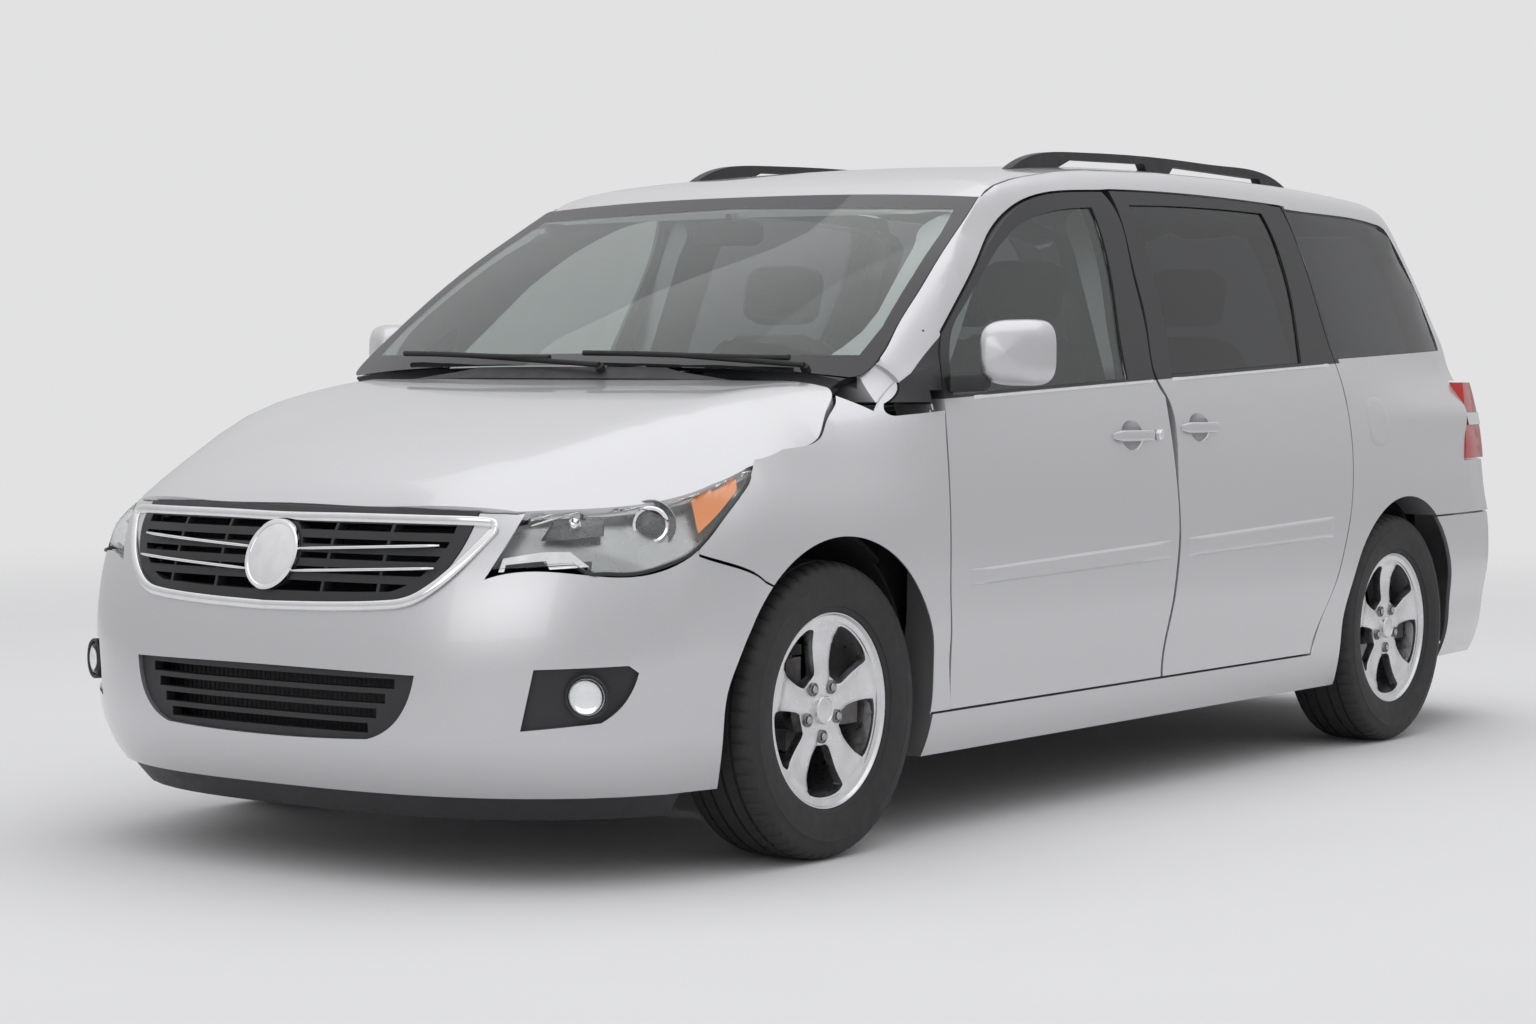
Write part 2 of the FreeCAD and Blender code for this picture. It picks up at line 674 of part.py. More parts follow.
# Upper edge of the front wing from the door over the sail to the windshield's corner
WING_TOP = [[(-1136, 1062), (-1322, 1050)], [(-1322, 1050), (-1344, 1060), (-1334, 1080)],
            [(-1334, 1080), (-1274, 1131), (-1313, 1174)]]


def fender():
    wall = side_slab([-2330, -2240, -2150, -2060, -1960, -1860, -1760, -1660, -1590, -1520, -1450, -1380, -1310,
                      -1240, -1180, -1090], 205, 1190, 0, lambda y, z: size("fender_wall"), 20)
    outline = [shifted(DOOR_FRONT[:-1], -GAP) + [(-1136, 1062)], WING_TOP[0], WING_TOP[1], WING_TOP[2],
               [(-1313, 1174), (-1366, 1145), (-1433, 1137), (-1452, 1125), (-1511, 1080), (-1585, 1010),
                (-1724, 985), (-1862, 962)],
               [(-1862, 962), (-1916, 903), (-2017, 831), (-2104, 757)],
               [(-2104, 757), (-2104, 749)], [(-2104, 749), (-2035, 729), (-1966, 709), (-1909, 681)],
               [(-1909, 681), (-1800, 640)], [(-1800, 640), (-1700, 318)], [(-1700, 318), (-1110, 318)]]
    shape = wall.common(prism("side", outline, OUTSIDE, 400)).cut(front_arch).cut(hood_space)
    return main_solid(shape.cut(lamp_space).cut(lamp_cut).cut(shield_slab(-1, 40, 1100, 1240)))


CORNER = (1, -1, 0)
lamp_cut = draft(LAMP, CORNER, 1500, 2800)
lamp_space = grown(lamp_cut, 12)
GRILLE_HOLE = [[(-523, 838), (-505, 740), (-440, 668), (-370, 640)], [(-370, 640), (0, 632), (370, 640)],
               [(370, 640), (440, 668), (505, 740), (523, 838)], [(523, 838), (523, 900)], [(523, 900), (-523, 900)],
               [(-523, 900), (-523, 838)]]
INTAKE_HOLE = [[(-442, 481), (0, 486), (442, 481)], [(442, 481), (380, 362), (318, 333)],
               [(318, 333), (0, 325), (-318, 333)], [(-318, 333), (-380, 362), (-442, 481)]]
FOG_HOLE = [[(698, -2423, 500), (850, -2276, 507)], [(850, -2276, 507), (862, -2255, 490)],
            [(862, -2255, 490), (841, -2275, 427), (805, -2318, 380)], [(805, -2318, 380), (670, -2436, 363)],
            [(670, -2436, 363), (698, -2423, 500)]]
grille_cut = prism("front", GRILLE_HOLE, -2900, -2100)
intake_cut = prism("front", INTAKE_HOLE, -2900, -2100)
fog_cut = draft(FOG_HOLE, CORNER, 1500, 2800)


def front_bumper():
    wall = wrap_slab(-1, -1, 1, 41, 206, 900, 13, 0, bumper_wall)
    shape = wall.common(under_hood).cut(hood_space)
    above = [[(-2104, 743), (-2035, 723), (-1966, 703), (-1909, 675)], [(-1909, 675), (-1800, 634)],
             [(-1800, 634), (-1200, 634)], [(-1200, 634), (-1200, 1300)], [(-1200, 1300), (-2104, 1300)],
             [(-2104, 1300), (-2104, 743)]]
    shape = shape.cut(prism("side", above, -OUTSIDE, OUTSIDE)).cut(grown(grille_cut, 2)).cut(grown(intake_cut, 0.5))
    for cutter in (lamp_space, lamp_cut, fog_cut, front_arch):
        shape = shape.cut(cutter).cut(mirrored(cutter))
    return main_solid(shape)


def nose_panel(cutter, depth_out, depth_in, z_from, z_to):
    """Piece of the nose between two depths inside an opening of the bumper."""
    wall = wrap_slab(-1, -0.72, 0.72, 21, z_from, z_to, 9, depth_out, depth_in)
    return wall.common(cutter)


def upper_grille():
    face = nose_panel(grille_cut, -4, 26, 620, 900).common(under_hood).cut(hood_space)
    hollow = prism("front", [[(-488, 812), (-472, 745), (-420, 690), (-360, 664)], [(-360, 664), (0, 656), (360, 664)],
                             [(360, 664), (420, 690), (472, 745), (488, 812)], [(488, 812), (-488, 812)]], -2900, -2100)
    bars = [box(-530, 530, -2800, -2200, z - 9, z + 9) for z in (690, 722, 754, 786)]
    bars += [box(x - 4, x + 4, -2800, -2200, 600, 900) for x in (-330, -170, 170, 330)]
    boss = Part.makeCylinder(84, 700, place(0, -2800, 740), Vector(0, 1, 0))
    return main_solid(face.cut(hollow.cut(bars + [boss])))


def lower_grille():
    face = nose_panel(grown(intake_cut, 30), bumper_wall + SEAT, 40, 290, 520)
    slots = []
    for low in (346, 380, 414, 448):
        reach = 400 - (470 - low) * 0.7
        slots.append(box(-reach, reach, -2800, -2200, low, low + 22))
    return main_solid(face.cut(slots))


def air_dam():
    wall = wrap_slab(-1, -0.92, 0.92, 25, 150, 222, 4, bumper_wall + 2, bumper_wall + 20)
    return main_solid(wall.common(box(-960, 960, -2700, -2075, 150, 222)))


def headlamp():
    wall = wrap_slab(-1, 0.3, 1, 19, 640, 1000, 9, 1, 60)
    return main_solid(wall.common(under_hood).common(lamp_cut).cut(hood_space))


def fog_lamp():
    wall = wrap_slab(-1, 0.4, 1, 13, 330, 560, 7, bumper_wall + SEAT, bumper_wall + 28)
    return main_solid(wall.common(grown(fog_cut, 30)))


# Roof, glass and tail
GATE_TOP = 1693
GATE_SIDE = [(640, 706), (688, 800), (700, 877), (706, 1000), (702, 1123), (690, 1240), (660, 1400), (622, 1550),
             (590, GATE_TOP)]
GATE_WINDOW = [[(-585, 1180), (0, 1168), (585, 1180)], [(585, 1180), (560, 1400), (525, 1560)],
               [(525, 1560), (500, 1600), (440, 1612)], [(440, 1612), (0, 1622), (-440, 1612)],
               [(-440, 1612), (-500, 1600), (-525, 1560)], [(-525, 1560), (-560, 1400), (-585, 1180)]]
GATE_HINGE = (2096, 1697)


def gate_outline(grow, top):
    side = [(x + grow, z) for x, z in GATE_SIDE]
    low = (side[0][0], side[0][1] - grow)
    return [[low, side[0]], side, [side[-1], (590 + grow, top)], [(590 + grow, top), (-590 - grow, top)],
            [(-590 - grow, top), (-side[-1][0], side[-1][1])], [(-x, z) for x, z in side[::-1]],
            [(-side[0][0], side[0][1]), (-low[0], low[1])], [(-low[0], low[1]), low]]


def tail_slab(depth_out, depth_in, z_from, z_to, x_reach=740, rows=15):
    across = [-x_reach + 2 * x_reach * i / 16 for i in range(17)]
    skins = [[[place(x, tail_place(x, z) - depth, z) for z in spread(z_from, z_to, rows)] for x in across]
             for depth in (depth_out, depth_in)]
    return slab(*skins)


def liftgate():
    wall = tail_slab(0, gate_wall, 690, 1740)
    side = GATE_SIDE
    outline = [side, [side[-1], (-side[-1][0], GATE_TOP)], [(-x, z) for x, z in side[::-1]],
               [(-side[0][0], side[0][1]), side[0]]]
    shape = wall.common(prism("front", outline, 1500, 2700))
    return main_solid(shape.cut(prism("front", GATE_WINDOW, 1500, 2700)))


def liftgate_window():
    return main_solid(tail_slab(glass_inset, glass_inset + glass_wall, 1140, 1660, 600, 8).common(
        grown(prism("front", GATE_WINDOW, 1500, 2700), -1.5)))


def roof_reach(x, y):
    """Place along the section, on the roof, of a distance from the middle of the car."""
    across = section(y)[0]
    low, high = reach_of(1600), 1.0
    for _ in range(30):
        middle = (low + high) / 2
        if across(middle) > x:
            low = middle
        else:
            high = middle
    return low


def roof_slab(depth_out, depth_in, inset):
    """Wall of the roof between two depths, from seam to seam less an inset."""
    rows = [BROW, -700, -640, -560, -460, -340, -160, 0, 200, 400, 800, 1120]
    rows += [1120 + i / 9 * (tail_at(1690) - 62 - 1120) for i in range(1, 10)]
    rows.append(rows[-1] + 40)
    skins = []
    for depth in (depth_out, depth_in):
        skin = []
        for y in rows:
            across, upward = section(y)
            first = reach_of(1722) + inset / 2000
            if y < 400:
                first = roof_reach(seam_at(y) - inset, y)
            shares = [first + (1 - first) * t for t in (0, 0.05, 0.2, 0.45, 0.75, 1.0)]
            half = [place(across(r) * closing(y, upward(r)), y, upward(r) - depth) for r in shares]
            half[-1] = Vector(0, half[-1].y, half[-1].z)
            skin.append([Vector(-p.x, p.y, p.z) for p in half[:-1]] + half[::-1])
        skins.append(skin)
    return slab(*skins)


def roof():
    wall = roof_slab(0, roof_wall, 4)
    front = behind(shield_place, -1000, 1000, 1500, 1780, 13, 12, 2600, 14)
    edge = [(x, tail_place(x, GATE_TOP) - 52 - GAP - 3) for x in spread(600, -600, 13)]
    rear = prism("top", [[(-1000, -1000), (1000, -1000)], [(1000, -1000), (1000, edge[0][1])],
                         [(1000, edge[0][1]), edge[0]], edge, [edge[-1], (-1000, edge[-1][1])],
                         [(-1000, edge[-1][1]), (-1000, -1000)]], 1000, 2000)
    return main_solid(wall.common(front).common(rear))


SHIELD_SIDE = [(818, 1144), (848, 1162), (851, 1190), (836, 1267), (820, 1350), (793, 1450), (770, 1520),
               (748, 1581), (733, 1616)]
SHIELD_TOP = [(-733, 1616), (-422, 1631), (0, 1636), (422, 1631), (733, 1616)]
SHIELD_LOW = [(818, 1144), (600, 1161), (400, 1168), (0, 1172), (-400, 1168), (-600, 1161), (-818, 1144)]


def shield_slab(depth_out, depth_in, z_from, z_to):
    skins = [[[place(x, shield_place(x, z) + depth, z - depth) for z in spread(z_from, z_to, 9)]
              for x in spread(-900, 900, 17)] for depth in (depth_out, depth_in)]
    return slab(*skins)


def windshield():
    outline = [[(-x, z) for x, z in SHIELD_SIDE], SHIELD_TOP, SHIELD_SIDE[::-1], SHIELD_LOW]
    return main_solid(shield_slab(0, 4, 1100, 1700).common(prism("front", outline, -2000, 0)))


def cowl():
    top = [(x * 0.992, z - 3) for x, z in SHIELD_LOW[::-1]]
    outline = [[(-780, 1085), (-780, 1118)], [(-780, 1118), top[0]], top, [top[-1], (780, 1118)],
               [(780, 1118), (780, 1085)], [(780, 1085), (-780, 1085)]]
    panel = shield_slab(0, 26, 1060, 1220).common(prism("front", outline, -2000, 0))
    return main_solid(panel.cut(hood_space).cut(hood_swing))


def wiper(x_from, x_to, pivot):
    """Arm and blade lying low on the glass."""
    line = []
    for x in spread(x_from, x_to, 5):
        z = 1184 + 6 * cos((x - x_from) / (x_to - x_from) * pi)
        line.append(place(x, shield_place(x, z) - 14, z + 14))
    foot = place(pivot, shield_place(pivot, 1160) - 10, 1174)
    bars = [Part.makeCylinder(7, (q - p).Length, p, q - p) for p, q in zip(line, line[1:])]
    bars += [Part.makeCylinder(7, (line[2] - foot).Length, foot, line[2] - foot)]
    knob = Part.makeCylinder(12, 26, place(pivot, shield_place(pivot, 1160) + 6, 1150), Vector(0, -0.6, 0.8))
    return main_solid(fused(bars + [knob]).cut(cowl_panel).cut(hood_space).cut(hood_swing).cut(
        shield_slab(-0.5, 40, 1100, 1400)))


def rear_bumper():
    wall = wrap_slab(1, -1, 1, 33, 236, 697, 9, 0, bumper_wall)
    return main_solid(wall.cut(rear_arch).cut(mirrored(rear_arch)))


TAIL_LAMP = [[(945, 1962, 877), (933, 1991, 957), (908, 2090, 1123)], [(908, 2090, 1123), (716, 2430, 1123)],
             [(716, 2430, 1123), (720, 2440, 1000), (716, 2440, 877)], [(716, 2440, 877), (945, 1962, 877)]]
tail_cut = draft(TAIL_LAMP, (1, 1, 0), 1000, 3200)


def tail_lamp():
    wall = wrap_slab(1, 0.45, 1, 17, 860, 1140, 6, -2, 50)
    return main_solid(wall.common(tail_cut).cut(prism("front", gate_outline(GAP, 1760), 1500, 2700)))


SIDE_STATIONS = [-1345, -1290, -1230, -1160, -900, -700, -560, -400, -200, 0, 400, 800, 1120]


def body_side():
    """Side frame: sill, pillars, cantrail, quarter panel and rear pillar round the door openings."""
    wall = side_slab(SIDE_STATIONS + tail_stations(1120, 9), 205, 1722, 0, pillar_depth, 24)
    front = pillar_block().fuse(Part.makeBox(600, 4000, 3000, Vector(500, 290, 0)))
    low_front = box(500, 1000, -1190, 400, 100, 1083)
    wall = wall.common(front.fuse(low_front))
    grow = GAP
    slot = joined([shifted(DOOR_FRONT, -grow), shifted(SAIL_REAR, -grow), shifted(DOOR_TOP, -grow, grow),
                   shifted(SLIDE_TOP, 0, grow), shifted(SLIDE_REAR, grow),
                   [(868 + grow, 318 - grow), (-1104 - grow, 318 - grow)]])
    slot_wall = wall_length(300, 1700, -1200, 1160, lambda z: -60, lambda z: door_depth(z) + GAP)
    slot_prism = prism("side", leaned(slot), OUTSIDE, 400, SWING)
    slot_cut = slot_prism.common(slot_wall)
    sail_swing = Part.makeCylinder(100, 320, Vector(HINGE.x, HINGE.y, 1100)).common(slot_prism)
    front_hole = joined([shifted(DOOR_FRONT, 60, 30), shifted(DOOR_TOP[2:-1], 35, -42), [(-98, 1610), (-130, 1142)],
                         [(-120, 1090), (-120, 360)]])
    rear_hole = joined([[(60, 360), (40, 1090)], [(60, 1200), (90, 1618)], [(361, 1624), (663, 1622), (960, 1612)],
                        [(1010, 1424), (1020, 960)], [(980, 720), (870, 478), (810, 360)]])
    hinge_space = Part.makeCylinder(HINGE_CLEAR, 800, Vector(HINGE.x, HINGE.y, place(0, 0, 312).z))
    wing = side_slab([-1400, -1370, -1310, -1240, -1180, -1080], 205, 1240, -20,
                     lambda y, z: size("fender_wall") + GAP, 20)
    wing_outline = [[(-1109, 312), (-1104, 318)], DOOR_FRONT[:-1], [DOOR_FRONT[-2], (-1130, 1067)],
                    [(-1130, 1067), (-1320, 1055)], [(-1320, 1055), (-1338, 1064), (-1329, 1077)],
                    [(-1329, 1077), (-1268, 1131), (-1308, 1178)], [(-1308, 1178), (-1340, 1230)],
                    [(-1340, 1230), (-1500, 1230)], [(-1500, 1230), (-1500, 312)], [(-1500, 312), (-1109, 312)]]
    wing = wing.common(prism("side", wing_outline, OUTSIDE, 400))
    glass_side = [(x + 2, z) for x, z in SHIELD_SIDE]
    glass_outline = [[(-x, z) for x, z in glass_side], [(-735, 1616), (-735, 1640)], [(-735, 1640), (735, 1640)],
                     [(735, 1640), (735, 1616)], glass_side[::-1], [(820, 1144), (820, 1100)],
                     [(820, 1100), (-820, 1100)], [(-820, 1100), (-820, 1144)]]
    glass = shield_slab(-40, 5, 1100, 1700).common(prism("front", glass_outline, -2000, 0))
    room = [[(-818, 1040), (-818, 1146)], [(-818, 1146), (0, 1180)], [(0, 1180), (818, 1146)],
            [(818, 1146), (818, 1040)], [(818, 1040), (-818, 1040)]]
    cowl_room = shield_slab(-40, 30, 1030, 1240).common(prism("front", room, -2000, 0))
    tail = prism("front", gate_outline(GAP, 1760), station(1700), station(2700))
    under = box(0, 1100, 1469.5, 2700, 0, 703)
    lamp = grown(tail_cut, 12)
    shape = wall
    for cutter in (tail, under, lamp, tail_cut, wing, glass, cowl_room, slot_cut, sail_swing, prism("side", front_hole, OUTSIDE, 400),
                   prism("side", rear_hole, OUTSIDE, 400), prism("side", QUARTER_GLASS, OUTSIDE, 400), rear_arch,
                   hinge_space, hood_swing, roof_slab(-40, roof_wall + GAP, -1)):
        shape = shape.cut(cutter)
    return main_solid(shape)


def roof_skin(x, y):
    """Height of the roof at a place across and along the car."""
    return section(y)[1](roof_reach(x, y))


def roof_rail():
    """Rail on three feet."""
    stations = [-222, -150, 100, 400, 700, 1000, 1250, 1370, 1440]
    top = [(y, roof_skin(545, y) + 42 * ease(min(y + 222, 1440 - y) / 130)) for y in stations]
    low = [(y, roof_skin(545, y) + 20) for y in stations[1:-1]]
    outline = [top, [top[-1], (1440, top[-1][1] - 30)], [(1440, top[-1][1] - 30), (1290, roof_skin(545, 1290) - 30)],
               [(1290, roof_skin(545, 1290) - 30), low[-2]], [low[-2], low[-4]],
               [low[-4], (640, roof_skin(545, 640) - 30)], [(640, roof_skin(545, 640) - 30),
                                                            (560, roof_skin(545, 560) - 30)],
               [(560, roof_skin(545, 560) - 30), (520, roof_skin(545, 520) + 20)],
               [(520, roof_skin(545, 520) + 20), low[1]], [low[1], (-60, roof_skin(545, -60) - 30)],
               [(-60, roof_skin(545, -60) - 30), (-222, top[0][1] - 30)], [(-222, top[0][1] - 30), top[0]]]
    return main_solid(prism("side", outline, 560, 530).cut(roof_panel))


def rounded(shape, radius, axis):
    """The edges along one direction rounded off."""
    edges = [e for e in shape.Edges if abs(e.tangentAt(e.FirstParameter).dot(Vector(*axis))) > 0.99]
    return shape.makeFillet(radius, edges)


ACROSS, ALONG, UP = (1, 0, 0), (0, 1, 0), (0, 0, 1)


# Cabin
def seat(x0, x1, y, floor, back_height, tilt=14):
    """Seat: base, cushion, leaning back and head restraint in one piece."""
    base = box(x0 + 60, x1 - 60, y + 80, y + 470, floor, 560)
    cushion = box(x0, x1, y, y + 540, 530, 680)
    cushion = rounded(cushion, 45, ACROSS)
    lean = FreeCAD.Rotation(Vector(1, 0, 0), -tilt)
    pivot = place(0, y + 480, 590)
    back = box(x0, x1, y + 440, y + 560, 610, back_height)
    back = rounded(back, 40, ALONG)
    middle = (x0 + x1) / 2
    rest = box(middle - 130, middle + 130, y + 445, y + 555, back_height + 30, back_height + 210)
    rest = rounded(rest, 50, ALONG)
    stem = box(middle - 60, middle + 60, y + 485, y + 515, back_height - 60, back_height + 80)
    upper = back.fuse([rest, stem])
    upper.rotate(pivot, Vector(1, 0, 0), -tilt)
    return fused([base, cushion, upper])


floor_top = 340


def dashboard():
    outline = closed([(-1160, 1062), (-1040, 1072), (-930, 1056), (-890, 1010), (-885, 950), (-930, 800), (-1000, 640),
                      (-1160, 640)])
    panel = prism("side", outline, place(735, 0, 0).x, place(-735, 0, 0).x)
    console = box(-130, 130, -1000, -600, floor_top, 720)
    return fused([panel, console])


def bench(x0, x1, y, floor, back_height):
    """Third row: one cushion and back with three head restraints."""
    base = box(x0 + 60, x1 - 60, y + 60, y + 420, floor, 450)
    cushion = box(x0, x1, y, y + 480, 430, 570)
    back = box(x0, x1, y + 390, y + 500, 500, back_height)
    rests = [box(x - 120, x + 120, y + 400, y + 490, back_height - 20, back_height + 150) for x in (-400, 0, 400)]
    upper = back.fuse(rests)
    upper.rotate(place(0, y + 440, 500), Vector(1, 0, 0), -14)
    return fused([base, cushion, upper])


# Underside: floor, firewall, rails, hinge posts and the liners of the wheel arches
def ring(x_from, x_to, y, radius, wall):
    outer = wheel_cut(radius + wall, y, ARCH_HEIGHT, x_from, x_to)
    inner = wheel_cut(radius, y, ARCH_HEIGHT, x_from - 1, x_to + 1)
    keep_above = Part.makeBox(x_to - x_from + 4, 1200, 700, Vector(x_from - 2, y - 600, ARCH_HEIGHT - 20))
    return outer.cut(inner).common(keep_above)


def underbody():
    floor_low = floor_top - size("floor_wall")
    shapes = [box(-560, 560, -1180, 2330, floor_low, floor_top)]
    half = [box(540, 880, -1178, 1030, floor_low, floor_top),
            box(540, 690, 1905, 2330, floor_low, floor_top),
            box(400, 470, -2400, -1150, 400, 480),
            box(400, 470, -1200, -1150, floor_low, 480),
            box(740, 812, -1232, -1060, floor_low, 1060),
            box(690, 812, -1232, -1178, 470, 1060)]
    front_ring = ring(place(470, 0, 0).x, place(885, 0, 0).x, y_front, arch + 12, 10)
    front_wall = Part.makeBox(12, 860, 450, Vector(place(470, 0, 0).x, y_front - 430, ARCH_HEIGHT - 20))
    front_wall = front_wall.common(wheel_cut(arch + 20, y_front, ARCH_HEIGHT, 300, 700))
    rear_ring = ring(place(560, 0, 0).x, place(840, 0, 0).x, y_rear, arch + 12, 10)
    rear_wall = Part.makeBox(12, 860, 450, Vector(place(560, 0, 0).x, y_rear - 430, ARCH_HEIGHT - 60))
    rear_wall = rear_wall.common(wheel_cut(arch + 20, y_rear, ARCH_HEIGHT, 300, 700))
    half += [front_ring, front_wall, rear_ring, rear_wall]
    shapes += half + [mirrored(h) for h in half]
    shapes += [box(-760, 760, -1190, -1172, floor_low, 1060),
               box(-525, 525, -2372, -2340, 400, 800),
               box(-560, 560, -2440, -2372, 500, 600),
               box(-600, 600, 2318, 2340, floor_low, 690)]
    whole = fused(shapes)
    for cutter in (Part.makeCylinder(arch + 12, 800, Vector(482 * size("body_width") / DRAWN_WIDTH, y_front,
                                                           ARCH_HEIGHT), Vector(1, 0, 0)),
                   Part.makeCylinder(arch + 12, 800, Vector(572 * size("body_width") / DRAWN_WIDTH, y_rear,
                                                           ARCH_HEIGHT), Vector(1, 0, 0))):
        whole = whole.cut(cutter).cut(mirrored(cutter))
    side = side_slab(SIDE_STATIONS + tail_stations(1120, 9), 190, 1130, -60,
                     lambda y, z: pillar_depth(y, z) + 1, 16)
    return main_solid(whole.cut(side).cut(mirrored(side)))


def mirror():
    """Housing of the outside mirror, swept back, and its foot on the door's front corner."""
    outline = [(930, -1092), (990, -1100), (1143, -985), (1143, -935), (1060, -955), (930, -1005)]
    housing = prism("top", closed(outline), 1118, 1290)
    housing = housing.makeFillet(18, housing.Edges)
    foot = box(900, 960, -1118, -1089, 1098, 1150)
    return main_solid(fused([housing, foot]).cut(front_door()))


# Running gear, out of plain blocks and round bars
def part_object(kind, name, **sizes):
    piece = doc.addObject(kind, name)
    for key, value in sizes.items():
        if key == "at":
            for axis, expression in zip("xyz", value):
                piece.setExpression("Placement.Base." + axis, expression)
        elif key == "along":
            turn = {"x": FreeCAD.Rotation(Vector(0, 1, 0), 90), "y": FreeCAD.Rotation(Vector(1, 0, 0), -90),
                    "z": FreeCAD.Rotation()}[value]
            piece.Placement = FreeCAD.Placement(Vector(0, 0, 0), turn)
        else:
            piece.setExpression(key, str(value))
    return piece


def merged(name, pieces, cutters=()):
    """Sub-part: pieces joined into one solid, less the cutters."""
    body = doc.addObject("Part::MultiFuse", name + "_joined")
    body.Shapes = pieces
    body.Refine = True
    if cutters:
        tools = doc.addObject("Part::MultiFuse", name + "_holes") if len(cutters) > 1 else cutters[0]
        if len(cutters) > 1:
            tools.Shapes = list(cutters)
        less = doc.addObject("Part::Cut", name)
        less.Base, less.Tool = body, tools
        body = less
    body.Label = name
    doc.recompute()
    nodes.append(body)
    return body


D = "Sizes."
FRONT = "(-" + D + "overall_length / 2 + " + D + "front_overhang)"
REAR = "(" + FRONT + " + " + D + "wheelbase)"
AXLE = D + "tyre_radius"
KINGPIN = "(" + D + "track_half - " + D + "kingpin_inset)"


def tyre(name, side, y):
    """Tyre with tread, walls and beads; hollow inside."""
    outer = size("tyre_radius")
    half, bead = size("tyre_width") / 2, size("rim_radius") + SEAT
    seat_at = size("rim_depth") / 2 - 14 - SEAT
    middle = side * size("track_half")
    profile = [(-half * .76, outer), (-half, outer - 46), (-seat_at, bead), (-half * .62, bead),
               (-half * .86, outer - 50), (half * .86, outer - 50), (half * .62, bead), (seat_at, bead),
               (half, outer - 46), (half * .76, outer)]
    points = [Vector(middle + x, y, axle_height + r) for x, r in profile]
    face = Part.Face(Part.makePolygon(points + points[:1]))
    keep(name, face.revolve(Vector(middle, y, axle_height), Vector(1, 0, 0), 360))


def measure(factor, alias, offset=0.0):
    """Size in a sketch: its value and the expression that binds it to the sheet."""
    if not factor:
        return offset, str(offset)
    return factor * size(alias) + offset, "%s * %s%s + %s" % (factor, D, alias, offset)


def rim(offset):
    return measure(1, "rim_radius", offset)


def deep(factor, offset):
    return measure(factor, "rim_depth", offset)


def plain(value):
    return measure(0, "", value)


def bound_sketch(body, name, plane, loops):
    """Closed outlines of straight lines whose corners are bound to the sheet."""
    sketch = body.newObject("Sketcher::SketchObject", name)
    support = [f for f in body.Origin.OriginFeatures if f.Role == plane][0]
    sketch.AttachmentSupport = (support, [""])
    sketch.MapMode = "FlatFace"
    first = 0
    for points in loops:
        count = len(points)
        for i in range(count):
            (a, _), (b, _) = points[i]
            (c, _), (d, _) = points[(i + 1) % count]
            sketch.addGeometry(Part.LineSegment(Vector(a, b, 0), Vector(c, d, 0)))
        for i in range(count):
            sketch.addConstraint(Sketcher.Constraint("Coincident", first + i, 2, first + (i + 1) % count, 1))
            for kind, (value, expression) in zip(("DistanceX", "DistanceY"), points[i]):
                where = sketch.addConstraint(Sketcher.Constraint(kind, -1, 1, first + i, 1, value))
                sketch.setExpression("Constraints[%d]" % where, expression)
        first += count
    return sketch


def turned_corner(angle, across, factor, offset):
    """Corner of a wheel window, given beside and out along its own ray, turned to that ray."""
    c, s = round(cos(angle), 6), round(sin(angle), 6)
    return (measure(-s * factor, "rim_radius", c * across - s * offset),
            measure(c * factor, "rim_radius", s * across + c * offset))


